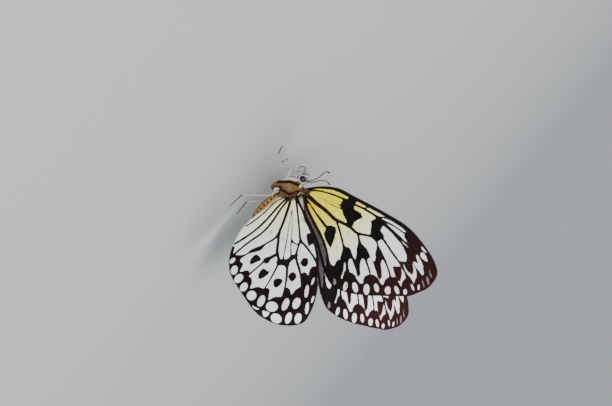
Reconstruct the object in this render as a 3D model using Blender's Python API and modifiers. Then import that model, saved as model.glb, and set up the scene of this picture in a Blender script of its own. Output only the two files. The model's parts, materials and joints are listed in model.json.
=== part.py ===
"""A paper kite butterfly standing with its wings half raised, at life size, as plain solids.

Lengths in the tables are millimetres in the body's own frame: forward, to the left, and up from a
point inside the thorax. The whole body is tipped nose-up on its legs, with the floor at Z = 0.
"""

import math

import bmesh
import bpy
from mathutils import Matrix, Vector

MM = 0.001

# Stance
PITCH = math.radians(14.0)
BODY_HEIGHT = 12.0
SHIFT_X = -14.127
SHIFT_Y = -1.528

# Wings
WING_THICKNESS = 0.5
WING_BOW = 0.5
BOW_SPAN = 66.0
FORE_LIFT = {1: math.radians(49.8), -1: math.radians(46.8)}
HIND_LIFT = {1: math.radians(49.8), -1: math.radians(44.6)}
FORE_SWEEP = {1: math.radians(12.66), -1: math.radians(6.6)}
HIND_SWEEP = {1: math.radians(-32.02), -1: math.radians(-36.4)}
FORE_ROOT = (1.67, 2.41, 2.01)
HIND_ROOT = (-2.07, 2.41, 0.71)

# Edges of each wing: distance along it, then distance behind its long axis.
FORE_FRONT = ((-1.4, -0.9), (3.1, -4.3), (8.9, -6.8), (18.6, -7.5), (33.5, -8.0), (44.1, -7.7),
              (55.0, -5.1), (63.1, -1.9), (66.4, 0.4))
FORE_TIP = (67.6, 4.3)
FORE_REAR = ((-1.4, 0.7), (12.0, 8.3), (28.0, 16.0), (36.0, 19.2), (40.0, 20.2), (44.0, 19.9),
             (51.9, 17.3), (60.7, 12.5), (66.0, 8.7))
HIND_FRONT = ((-1.9, -0.6), (3.4, -2.7), (8.0, -4.7), (12.5, -6.3), (18.6, -9.0), (24.8, -10.9),
              (31.3, -12.4), (38.5, -12.6), (44.8, -11.3), (48.2, -9.3))
HIND_TIP = (49.2, -6.2)
HIND_REAR = ((-1.9, 6.4), (5.5, 13.0), (11.5, 17.6), (18.5, 19.7), (26.2, 19.0), (35.4, 14.1),
             (44.3, 6.9), (48.2, -0.1))
SPAN_STEPS = 30
CHORD_STEPS = 8

# Thorax and abdomen: place forward, middle height, half width, half height.
THORAX = ((-6.7, -4.0, 1.1, 1.3), (-6.1, -4.1, 2.1, 2.4), (-4.9, -3.6, 2.75, 3.3), (-3.0, -2.6, 3.15, 4.1),
          (-1.0, -1.9, 3.2, 4.4), (0.7, -1.6, 2.8, 4.0), (1.9, -1.7, 1.9, 2.9), (2.4, -1.9, 1.0, 1.5))
ABDOMEN_START = -6.0
ABDOMEN_END = -17.4
ABDOMEN_CUTS = (-9.6, -13.4)
ABDOMEN_RISE = 0.14
ABDOMEN_HEIGHT = -2.85
ABDOMEN_RADIUS = 1.6
NODE_GAP = 0.08
MIDLINE_GAP = 0.35

# Head
HEAD_CENTRE = (3.3, 0.0, -2.2)
HEAD_RADII = (1.75, 1.7, 1.9)
EYE_CENTRE = (3.6, 1.35, -2.05)
EYE_RADII = (1.02, 0.78, 1.18)

# Feelers: forward, outward and up along each
FEELERS = {
    1: ((4.2, 0.75, -0.9), (5.6, 1.7, 0.1), (7.8, 4.0, 1.1), (9.6, 6.8, 1.5), (10.6, 9.4, 2.2),
        (10.9, 11.6, 3.6)),
    -1: ((4.2, 0.75, -0.9), (5.6, 1.7, -0.1), (7.7, 4.0, 0.2), (9.3, 6.8, 0.4), (10.3, 9.4, 0.9),
         (10.6, 11.6, 2.0)),
}

# Thin pieces
FEELER_RADIUS = 0.26
LEG_RADII = (0.42, 0.34, 0.3, 0.3)
TARSUS_HEIGHT = 0.2

COLOURS = {
    "wing": (0.86, 0.85, 0.78),
    "body": (0.72, 0.5, 0.3),
    "dark": (0.03, 0.03, 0.035),
    "eye": (0.02, 0.022, 0.03),
    "leg": (0.25, 0.23, 0.22),
}


def clear_scene():
    for old in list(bpy.data.objects):
        bpy.data.objects.remove(old, do_unlink=True)


def new_collection(name, hidden=False):
    made = bpy.data.collections.new(name)
    bpy.context.scene.collection.children.link(made)
    made.hide_render = hidden
    return made


def material(name, colour, roughness):
    made = bpy.data.materials.new(name)
    made.use_nodes = True
    shader = made.node_tree.nodes["Principled BSDF"]
    shader.inputs["Base Color"].default_value = (*colour, 1.0)
    shader.inputs["Roughness"].default_value = roughness
    return made


def place(forward, left, up):
    """A point of the body in the frame of the body's empty, in metres."""
    return Vector((-forward, -left, up)) * MM


def stance(back, left, height):
    """A point given from the floor under the body, turned into forward, left and up in the body."""
    rise = height - BODY_HEIGHT
    forward = -(back * math.cos(PITCH) - rise * math.sin(PITCH))
    up = back * math.sin(PITCH) + rise * math.cos(PITCH)
    return forward, left, up


def edge_curve(front, tip, rear):
    """A smooth line from the root along the front edge, round the tip and back along the rear edge."""
    points = [Vector(p) for p in (*front, tip, *reversed(rear))]
    places = [0.0]
    for a, b in zip(points, points[1:]):
        places.append(places[-1] + (b - a).length)
    slopes = []
    for i in range(len(points)):
        before = max(i - 1, 0)
        after = min(i + 1, len(points) - 1)
        slopes.append((points[after] - points[before]) / (places[after] - places[before]))
    return points, places, slopes


def on_curve(curve, at):
    points, places, slopes = curve
    i = 0
    while i < len(places) - 2 and at > places[i + 1]:
        i += 1
    step = places[i + 1] - places[i]
    t = (at - places[i]) / step
    start = (1 + 2 * t) * (1 - t) ** 2 * points[i] + t * (1 - t) ** 2 * step * slopes[i]
    end = t * t * (3 - 2 * t) * points[i + 1] + t * t * (t - 1) * step * slopes[i + 1]
    return start + end


def wing_frame(side, lift, sweep, root):
    """The wing's own axes in the body: along it, behind it, and its root."""
    out = Vector((0.0, side * math.cos(lift), math.sin(lift)))
    forward = Vector((1.0, 0.0, 0.0))
    along = math.cos(sweep) * out + math.sin(sweep) * forward
    behind = math.sin(sweep) * out - math.cos(sweep) * forward
    start = Vector((root[0], side * root[1], root[2]))
    return along, behind, start


def body_matrix(along, behind, start):
    """A placing whose X runs along the wing, Y behind it, in the frame of the body's empty."""
    flip = Matrix(((-1, 0, 0), (0, -1, 0), (0, 0, 1)))
    x_axis = flip @ along
    y_axis = flip @ behind
    z_axis = x_axis.cross(y_axis)
    made = Matrix((x_axis, y_axis, z_axis)).transposed().to_4x4()
    made.translation = flip @ start * MM
    return made


def wing(name, side, lift, sweep, root, edges, parts, parent, look):
    along, behind, start = wing_frame(side, lift, sweep, root)
    curve = edge_curve(*edges)
    tip_place = curve[1][len(edges[0])]
    whole = curve[1][-1]
    shape = bmesh.new()
    rows = []
    for i in range(SPAN_STEPS + 1):
        share = math.sin(0.5 * math.pi * i / SPAN_STEPS) ** 0.9
        near = on_curve(curve, tip_place * share)
        far = on_curve(curve, whole + (tip_place - whole) * share)
        row = []
        for j in range(CHORD_STEPS + 1):
            if i == SPAN_STEPS and j:
                row.append(row[0])
                continue
            flat = near.lerp(far, j / CHORD_STEPS)
            reach = min(max((flat.x * math.cos(sweep) + flat.y * math.sin(sweep)) / BOW_SPAN, 0.0), 1.0)
            rise = side * WING_BOW * 4 * reach * (1 - reach)
            row.append(shape.verts.new(Vector((flat.x, flat.y, rise)) * MM))
        rows.append(row)
    for a, b in zip(rows, rows[1:]):
        for j in range(CHORD_STEPS):
            corners = (a[j], b[j], b[j + 1], a[j + 1]) if b[j] != b[j + 1] else (a[j], b[j], a[j + 1])
            shape.faces.new(corners)
    mesh = bpy.data.meshes.new(name)
    shape.to_mesh(mesh)
    shape.free()
    made = bpy.data.objects.new(name, mesh)
    parts.objects.link(made)
    made.parent = parent
    made.matrix_local = body_matrix(along, behind, start)
    mesh.materials.append(look)
    skin = made.modifiers.new("Thickness", "SOLIDIFY")
    skin.thickness = WING_THICKNESS * MM
    skin.offset = 0.0
    skin.use_even_offset = False
    return made


def ring_body(name, stations, segments, grow=0.0):
    """A closed body through oval rings, each given by place, middle height, half width and half height."""
    shape = bmesh.new()
    rings = []
    for at, middle, wide, high in stations:
        ring = []
        for k in range(segments):
            turn = 2 * math.pi * k / segments
            left = (wide + grow) * math.cos(turn)
            up = middle + (high + grow) * math.sin(turn)
            ring.append(shape.verts.new(place(at, left, up)))
        rings.append(ring)
    for a, b in zip(rings, rings[1:]):
        for k in range(segments):
            n = (k + 1) % segments
            shape.faces.new((a[k], a[n], b[n], b[k]))
    shape.faces.new(list(reversed(rings[0])))
    shape.faces.new(rings[-1])
    bmesh.ops.recalc_face_normals(shape, faces=shape.faces[:])
    mesh = bpy.data.meshes.new(name)
    shape.to_mesh(mesh)
    shape.free()
    return bpy.data.objects.new(name, mesh)


def ball(name, centre, radii, segments, rings, grow=0.0):
    shape = bmesh.new()
    bmesh.ops.create_uvsphere(shape, u_segments=segments, v_segments=rings, radius=1.0)
    mesh = bpy.data.meshes.new(name)
    shape.to_mesh(mesh)
    shape.free()
    made = bpy.data.objects.new(name, mesh)
    made.location = place(*centre)
    made.scale = [(r + grow) * MM for r in radii]
    return made


def block(name, centre, size):
    shape = bmesh.new()
    bmesh.ops.create_cube(shape, size=1.0)
    mesh = bpy.data.meshes.new(name)
    shape.to_mesh(mesh)
    shape.free()
    made = bpy.data.objects.new(name, mesh)
    made.location = Vector(centre) * MM
    made.scale = Vector(size) * MM
    return made


def tube(name, points, radii, parts, parent, look, sides=2):
    """A round tube through the points, as a mesh with its origin at the first of them."""
    curve = bpy.data.curves.new(name, "CURVE")
    curve.dimensions = "3D"
    curve.bevel_depth = 1.0 * MM
    curve.bevel_resolution = sides
    curve.use_fill_caps = True
    line = curve.splines.new("POLY")
    line.points.add(len(points) - 1)
    start = place(*points[0])
    for target, point, radius in zip(line.points, points, radii):
        target.co = (*(place(*point) - start), 1.0)
        target.radius = radius
    guide = bpy.data.objects.new(name + "_line", curve)
    parts.objects.link(guide)
    bpy.context.view_layer.update()
    graph = bpy.context.evaluated_depsgraph_get()
    mesh = bpy.data.meshes.new_from_object(guide.evaluated_get(graph))
    bpy.data.objects.remove(guide, do_unlink=True)
    shape = bmesh.new()
    shape.from_mesh(mesh)
    bmesh.ops.remove_doubles(shape, verts=shape.verts[:], dist=1e-6)
    bmesh.ops.recalc_face_normals(shape, faces=shape.faces[:])
    shape.to_mesh(mesh)
    shape.free()
    mesh.name = name
    mesh.materials.clear()
    mesh.materials.append(look)
    made = bpy.data.objects.new(name, mesh)
    parts.objects.link(made)
    made.parent = parent
    made.location = start
    return made


def rounded_path(points, share=0.22):
    """The same path with each corner cut by a short chord, so a tube keeps its width there."""
    path = [Vector(points[0])]
    for before, here, after in zip(points, points[1:], points[2:]):
        here = Vector(here)
        path.append(here.lerp(Vector(before), share))
        path.append(here.lerp(Vector(after), share))
    path.append(Vector(points[-1]))
    return path


def cut(obj, cutter):
    step = obj.modifiers.new("Clear " + cutter.name, "BOOLEAN")
    step.operation = "DIFFERENCE"
    step.solver = "EXACT"
    step.object = cutter


def add(obj, parts, parent, look):
    parts.objects.link(obj)
    obj.parent = parent
    if look:
        obj.data.materials.append(look)
    return obj


def abdomen_station(at):
    share = (at - ABDOMEN_START) / (ABDOMEN_END - ABDOMEN_START)
    middle = ABDOMEN_HEIGHT + ABDOMEN_RISE * (ABDOMEN_START - at)
    swell = 0.82 + 0.42 * math.sin(math.pi * min(share * 0.95 + 0.08, 1.0))
    taper = math.sqrt(max(1.0 - max((share - 0.72) / 0.28, 0.0) ** 2.2, 0.02))
    radius = ABDOMEN_RADIUS * swell * taper * 0.85
    return at, middle, radius, radius * 1.06


def abdomen_length(name, first, last, steps, segments, grow=0.0):
    places = [first + (last - first) * i / steps for i in range(steps + 1)]
    return ring_body(name, [abdomen_station(at) for at in places], segments, grow)


def spiral(centre, first_turn, turns, outer, inner, count):
    path = []
    for i in range(count + 1):
        share = i / count
        turn = first_turn + turns * 2 * math.pi * share
        radius = outer + (inner - outer) * share
        path.append((centre[0] + radius * math.cos(turn), 0.0, centre[1] + radius * math.sin(turn)))
    return path


def build():
    clear_scene()
    parts = new_collection("paper_kite_butterfly")
    helpers = new_collection("cutters", hidden=True)
    wing_look = material("wing", COLOURS["wing"], 0.6)
    body_look = material("body", COLOURS["body"], 0.8)
    dark_look = material("dark", COLOURS["dark"], 0.6)
    eye_look = material("eye", COLOURS["eye"], 0.2)
    leg_look = material("leg", COLOURS["leg"], 0.6)

    frame = bpy.data.objects.new("body_frame", None)
    parts.objects.link(frame)
    frame.location = Vector((SHIFT_X, SHIFT_Y, BODY_HEIGHT)) * MM
    frame.rotation_euler = (0.0, PITCH, 0.0)

    def cutter(obj):
        helpers.objects.link(obj)
        obj.parent = frame
        obj.hide_render = True
        obj.display_type = "WIRE"
        return obj

    # Cutters, each a little larger than the piece that its neighbours meet
    thorax_room = cutter(ring_body("thorax_room", THORAX, 24, NODE_GAP))
    abdomen_room = cutter(abdomen_length("abdomen_room", ABDOMEN_START + 1.0, ABDOMEN_END, 16, 20, NODE_GAP))
    head_room = cutter(ball("head_room", HEAD_CENTRE, HEAD_RADII, 20, 12, NODE_GAP))
    eye_rooms = {}
    for side, word in ((1, "left"), (-1, "right")):
        centre = (EYE_CENTRE[0], side * EYE_CENTRE[1], EYE_CENTRE[2])
        eye_rooms[side] = cutter(ball("eye_room_" + word, centre, EYE_RADII, 18, 10, 0.05))
    floor_room = block("floor_room", (0.0, 0.0, -10.0), (200.0, 200.0, 20.0))
    helpers.objects.link(floor_room)
    floor_room.hide_render = True
    floor_room.display_type = "WIRE"
    other_half = {}
    for side, word in ((1, "left"), (-1, "right")):
        centre = (0.0, side * (20.0 - MIDLINE_GAP), 0.0)
        other_half[side] = cutter(block("other_half_" + word, centre, (80.0, 40.0, 80.0)))

    # Trunk
    add(ring_body("thorax", THORAX, 24), parts, frame, body_look)
    start = ABDOMEN_START
    ends = (*ABDOMEN_CUTS, ABDOMEN_END)
    for word, end, steps in zip(("front", "middle", "rear"), ends, (4, 4, 7)):
        piece = abdomen_length("abdomen_" + word, start, end, steps, 16)
        add(piece, parts, frame, body_look)
        if word == "front":
            cut(piece, thorax_room)
        start = end - NODE_GAP

    # Head
    head = add(ball("head", HEAD_CENTRE, HEAD_RADII, 20, 12), parts, frame, dark_look)
    cut(head, thorax_room)
    for side, word in ((1, "left"), (-1, "right")):
        cut(head, eye_rooms[side])
        centre = (EYE_CENTRE[0], side * EYE_CENTRE[1], EYE_CENTRE[2])
        add(ball("eye_" + word, centre, EYE_RADII, 18, 10), parts, frame, eye_look)

        feeler = [(f, side * l, u) for f, l, u in FEELERS[side]]
        widths = [FEELER_RADIUS] * (len(feeler) - 2) + [FEELER_RADIUS * 1.25, FEELER_RADIUS * 1.1]
        cut(tube("antenna_" + word, feeler, widths, parts, frame, dark_look), head_room)

        palp = [(4.3, side * 0.6, -3.2), (5.4, side * 0.65, -3.0), (6.0, side * 0.7, -1.9)]
        cut(tube("palp_" + word, palp, (0.36, 0.38, 0.26), parts, frame, dark_look), head_room)
    coil = [(4.0, 0.0, -3.4), *spiral((5.1, -5.2), math.radians(105), -1.2, 1.35, 0.6, 16)]
    cut(tube("proboscis", coil, [0.25] * len(coil), parts, frame, dark_look), head_room)

    # Legs: the front pair is small and folded, the other two pairs reach the floor
    for side, word in ((1, "left"), (-1, "right")):
        fore = [(0.9, 0.9, -4.4), (2.6, 1.1, -5.3), (4.0, 1.4, -5.0), (2.2, 1.9, -6.2)]
        mid_foot = (stance(-4.6, 5.8, TARSUS_HEIGHT), stance(-7.0, 9.0, TARSUS_HEIGHT))
        hind_foot = (stance(13.0, 5.6, TARSUS_HEIGHT), stance(18.2, 7.6, TARSUS_HEIGHT))
        middle = [(-1.2, 1.5, -4.9), stance(-3.9, 4.3, 6.3), *mid_foot]
        hind = [(-3.5, 1.6, -4.7), stance(7.0, 4.2, 7.3), *hind_foot]
        for label, path in (("foreleg", fore), ("midleg", middle), ("hindleg", hind)):
            path = [(f, side * l, u) for f, l, u in path]
            smooth = rounded_path(path)
            if label == "foreleg":
                widths = [0.28] * len(smooth)
            else:
                widths = [LEG_RADII[0], *[LEG_RADII[1]] * 2, *[LEG_RADII[2]] * 2, LEG_RADII[3]]
            leg = tube(label + "_" + word, smooth, widths, parts, frame, leg_look)
            cut(leg, thorax_room)
            if label != "foreleg":
                cut(leg, floor_room)

    # Wings
    for side, word in ((1, "left"), (-1, "right")):
        fore_edges = (FORE_FRONT, FORE_TIP, FORE_REAR)
        hind_edges = (HIND_FRONT, HIND_TIP, HIND_REAR)
        fore_angles = (FORE_LIFT[side], FORE_SWEEP[side])
        hind_angles = (HIND_LIFT[side], HIND_SWEEP[side])
        fore_shape = (*fore_angles, FORE_ROOT, fore_edges)
        hind_shape = (*hind_angles, HIND_ROOT, hind_edges)
        fore_wing = wing("forewing_" + word, side, *fore_shape, parts, frame, wing_look)
        hind_wing = wing("hindwing_" + word, side, *hind_shape, parts, frame, wing_look)
        cut(fore_wing, thorax_room)
        cut(hind_wing, thorax_room)
        cut(hind_wing, abdomen_room)
        cut(hind_wing, other_half[side])


build()
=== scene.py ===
import json
import math

import bpy
import numpy as np
from bpy.props import FloatProperty, FloatVectorProperty, IntProperty, PointerProperty
from mathutils import Matrix, Vector

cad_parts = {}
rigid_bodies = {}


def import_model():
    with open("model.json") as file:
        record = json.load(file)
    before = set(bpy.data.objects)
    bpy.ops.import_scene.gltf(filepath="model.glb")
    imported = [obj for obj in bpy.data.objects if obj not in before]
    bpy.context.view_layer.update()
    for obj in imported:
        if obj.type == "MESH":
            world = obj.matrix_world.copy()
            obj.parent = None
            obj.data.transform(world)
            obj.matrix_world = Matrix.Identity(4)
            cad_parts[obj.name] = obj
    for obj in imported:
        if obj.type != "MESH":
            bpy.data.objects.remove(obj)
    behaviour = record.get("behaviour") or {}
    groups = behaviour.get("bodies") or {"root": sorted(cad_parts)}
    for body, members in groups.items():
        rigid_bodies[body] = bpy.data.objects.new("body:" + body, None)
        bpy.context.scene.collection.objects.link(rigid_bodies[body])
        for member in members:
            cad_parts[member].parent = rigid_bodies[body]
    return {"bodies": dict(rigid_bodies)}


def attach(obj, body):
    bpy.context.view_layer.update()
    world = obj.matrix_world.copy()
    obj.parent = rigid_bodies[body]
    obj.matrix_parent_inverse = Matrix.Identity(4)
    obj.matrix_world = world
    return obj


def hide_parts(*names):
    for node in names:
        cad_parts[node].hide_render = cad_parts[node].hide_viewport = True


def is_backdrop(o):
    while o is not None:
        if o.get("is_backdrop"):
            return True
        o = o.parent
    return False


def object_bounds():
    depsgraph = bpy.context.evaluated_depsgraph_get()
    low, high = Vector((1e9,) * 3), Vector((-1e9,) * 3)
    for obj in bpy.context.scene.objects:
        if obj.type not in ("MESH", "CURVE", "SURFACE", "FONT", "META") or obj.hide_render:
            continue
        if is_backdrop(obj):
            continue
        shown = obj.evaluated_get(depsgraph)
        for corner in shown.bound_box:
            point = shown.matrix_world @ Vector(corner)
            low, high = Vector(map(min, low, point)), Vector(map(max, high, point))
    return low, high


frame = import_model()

bl_info = {
    "name": "Paper kite butterfly",
    "version": (1, 0, 0),
    "blender": (4, 5, 0),
    "location": "3D View > Sidebar > Kite",
    "description": "Builds the wings, body, coat and stage of a paper kite butterfly round its solid model",
    "category": "Object",
}

# Frame of the body, in millimetres: forward, left and up from a point in the thorax
MM = 0.001
BODY = list(frame["bodies"])[0]
PITCH = math.radians(14.0)
BODY_PLACE = (-14.127, -1.528, 12.0)
SIDES = ((1, "left"), (-1, "right"))

# Wings: roots, angles and outlines in the wing's own plane, along the wing and behind it
ROOTS = {"forewing": (1.67, 2.41, 2.01), "hindwing": (-2.07, 2.41, 0.71)}
LIFT_AND_SWEEP = {
    ("forewing", 1): (49.8, 12.66),
    ("forewing", -1): (46.8, 6.6),
    ("hindwing", 1): (49.8, -32.02),
    ("hindwing", -1): (44.6, -36.4),
}
WING_BOW, BOW_SPAN = 0.5, 66.0
MIDLINE_GAP = 0.35
ROOT_TUCK = 1.3
OUTLINES = {
    "forewing": (
        ((-1.4, -0.9), (3.1, -4.3), (8.9, -6.8), (18.6, -7.5), (33.5, -8.0), (44.1, -7.7), (55.0, -5.1),
         (63.1, -1.9), (66.4, 0.4)),
        (67.6, 4.3),
        ((-1.4, 0.7), (12.0, 8.3), (28.0, 16.0), (36.0, 19.2), (40.0, 20.2), (44.0, 19.9), (51.9, 17.3),
         (60.7, 12.5), (66.0, 8.7)),
    ),
    "hindwing": (
        ((-1.9, -0.6), (3.4, -2.7), (8.0, -4.7), (12.5, -6.3), (18.6, -9.0), (24.8, -10.9), (31.3, -12.4),
         (38.5, -12.6), (44.8, -11.3), (48.2, -9.3)),
        (49.2, -6.2),
        ((-1.9, 6.4), (5.5, 13.0), (11.5, 17.6), (18.5, 19.7), (26.2, 19.0), (35.4, 14.1), (44.3, 6.9),
         (48.2, -0.1)),
    ),
}

# Veins: width at the start, width at the end, and the points they run through
VEINS = {
    "hindwing": {
        "inner_fold": (0.35, 0.4, ((-0.3, 1.8), (1.2, 6.0), (4.3, 9.2), (6.9, 12.2), (9.1, 15.5))),
        "third_anal": (0.5, 0.55, ((-0.2, 1.2), (2.5, 3.9), (6.1, 6.7), (9.1, 9.1), (11.9, 12.0),
                                   (13.8, 14.8), (15.8, 18.6))),
        "second_anal": (0.5, 0.5, ((-0.2, 0.9), (1.8, 1.7), (5.5, 4.0), (8.2, 5.3), (11.3, 7.1), (14.0, 9.5),
                                   (16.0, 12.8), (18.4, 16.0), (20.4, 18.2))),
        "cubital": (0.6, 0.5, ((0.1, 0.5), (4.1, 0.9), (8.3, 1.5), (12.4, 2.3), (15.5, 3.0), (19.1, 2.8),
                               (23.6, 2.6), (27.7, 1.3))),
        "second_cubital": (0.5, 0.35, ((15.9, 3.1), (17.4, 4.1), (18.7, 6.6), (19.9, 9.2), (20.8, 11.8),
                                       (22.4, 15.4), (24.7, 18.6))),
        "first_cubital": (0.5, 0.3, ((24.4, 2.5), (24.9, 4.1), (26.3, 6.6), (28.0, 8.5), (29.7, 10.4),
                                     (31.2, 12.0), (33.8, 14.6))),
        "third_median": (0.4, 0.3, ((28.4, 1.3), (31.2, 2.2), (34.3, 3.3), (37.6, 4.7), (42.0, 7.6))),
        "second_median": (0.45, 0.3, ((28.6, -1.4), (29.8, -1.7), (33.0, -2.0), (36.0, -2.2), (40.5, -2.1),
                                      (47.8, -1.0))),
        "first_median": (0.45, 0.3, ((27.2, -4.2), (30.8, -5.4), (34.2, -6.6), (38.8, -7.9), (46.8, -9.7))),
        "radial": (0.35, 0.35, ((1.0, -1.0), (5.6, -2.0), (12.7, -3.5), (17.2, -4.3), (21.0, -5.1))),
        "radial_end": (0.35, 0.45, ((21.0, -5.1), (23.7, -4.6), (27.1, -4.2))),
        "radial_branch": (0.35, 0.35, ((21.0, -5.1), (25.3, -8.1), (30.2, -11.0), (33.3, -12.4))),
        "front_edge": (0.5, 0.4, ((0.3, -1.1), (3.6, -2.4), (8.1, -4.4), (12.6, -6.0), (18.7, -8.7),
                                  (24.9, -10.6), (31.4, -12.1), (36.5, -12.3))),
        "cell_end": (0.8, 1.0, ((27.1, -4.2), (27.5, -3.1), (28.5, -1.4), (28.1, 1.3))),
    },
    "forewing": {
        "radial": (0.45, 0.5, ((-0.4, -0.1), (4.1, -2.6), (8.9, -3.9), (13.4, -4.6), (16.6, -5.0),
                               (20.6, -5.1), (25.3, -5.5), (31.9, -5.4), (34.1, -5.2))),
        "first_radial": (0.35, 0.3, ((25.1, -5.5), (26.0, -6.5), (28.0, -7.6))),
        "second_radial": (0.4, 0.3, ((32.1, -5.4), (35.0, -6.5), (38.7, -7.1), (46.1, -6.5))),
        "fourth_radial": (0.4, 0.25, ((33.9, -5.3), (39.6, -5.6), (43.6, -5.4), (49.0, -4.9))),
        "fifth_radial": (0.45, 0.3, ((35.9, -4.8), (42.6, -3.9), (48.7, -2.9), (58.0, -1.2), (65.4, 1.4))),
        "cubital": (1.0, 0.5, ((0.0, 0.4), (8.9, 1.3), (14.3, 1.7), (19.9, 2.4), (24.2, 2.0), (27.9, 2.0),
                               (31.2, 2.4), (33.2, 1.9), (36.5, 0.9), (39.4, 1.1))),
        "second_cubital": (0.45, 0.35, ((20.3, 2.5), (24.3, 4.4), (30.1, 7.6), (34.9, 10.5), (39.4, 13.4),
                                        (45.2, 18.6))),
        "first_cubital": (0.45, 0.35, ((31.6, 2.4), (34.3, 4.1), (38.9, 6.7), (43.5, 8.7), (49.2, 11.9),
                                       (53.4, 15.9))),
        "third_median": (0.4, 0.35, ((39.2, 1.0), (42.0, 2.6), (46.3, 4.4), (50.5, 6.2), (54.7, 8.6),
                                     (59.6, 12.8))),
        "second_median": (0.45, 0.35, ((39.3, -0.7), (42.7, 0.2), (48.1, 1.9), (53.0, 3.3), (58.1, 5.3),
                                       (63.9, 9.6))),
        "first_median": (0.45, 0.3, ((36.0, -4.6), (42.3, -3.5), (48.7, -1.9), (55.2, 0.6), (61.3, 3.0),
                                     (66.8, 6.0))),
        "second_anal": (0.7, 0.5, ((-0.2, 0.4), (6.6, 4.2), (13.3, 6.8), (20.2, 9.2), (26.6, 12.0),
                                   (31.5, 14.8), (35.7, 17.1), (40.0, 19.4))),
        "front_edge": (0.8, 0.7, ((-0.8, -0.9), (3.1, -3.9), (8.9, -6.3), (18.6, -7.1), (33.5, -7.6),
                                  (44.1, -7.3), (55.0, -4.7), (63.0, -1.6), (66.2, 0.7))),
    },
}

# Streaks without a ridge, in the same form as the veins
STREAKS = {
    "hindwing": (
        (0.2, 0.5, ((6.9, -0.5), (13.4, -0.3), (19.9, -0.3), (25.0, -0.1), (27.8, 0.0))),
        (0.15, 0.55, ((6.9, -0.5), (13.8, -1.4), (19.1, -1.9), (23.7, -2.2), (26.8, -2.6))),
        (0.45, 0.45, ((20.5, -2.3), (22.0, -3.5), (22.5, -4.9))),
    ),
    "forewing": (
        (0.4, 0.9, ((3.7, 1.9), (11.4, 4.1), (19.2, 6.0))),
        (0.12, 0.22, ((6.5, -0.6), (12.0, -1.7), (17.2, -2.4))),
        (0.12, 0.3, ((10.1, -0.9), (14.7, -1.1), (18.9, -1.7))),
        (0.1, 0.2, ((9.0, -2.2), (13.0, -3.0), (16.8, -3.6))),
        (0.12, 0.15, ((24.0, 6.5), (29.5, 9.6), (34.5, 13.0))),
        (0.5, 0.9, ((2.0, 3.1), (9.0, 6.6), (16.0, 9.4), (23.0, 12.4), (29.0, 15.5), (34.0, 18.2))),
    ),
}

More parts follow.
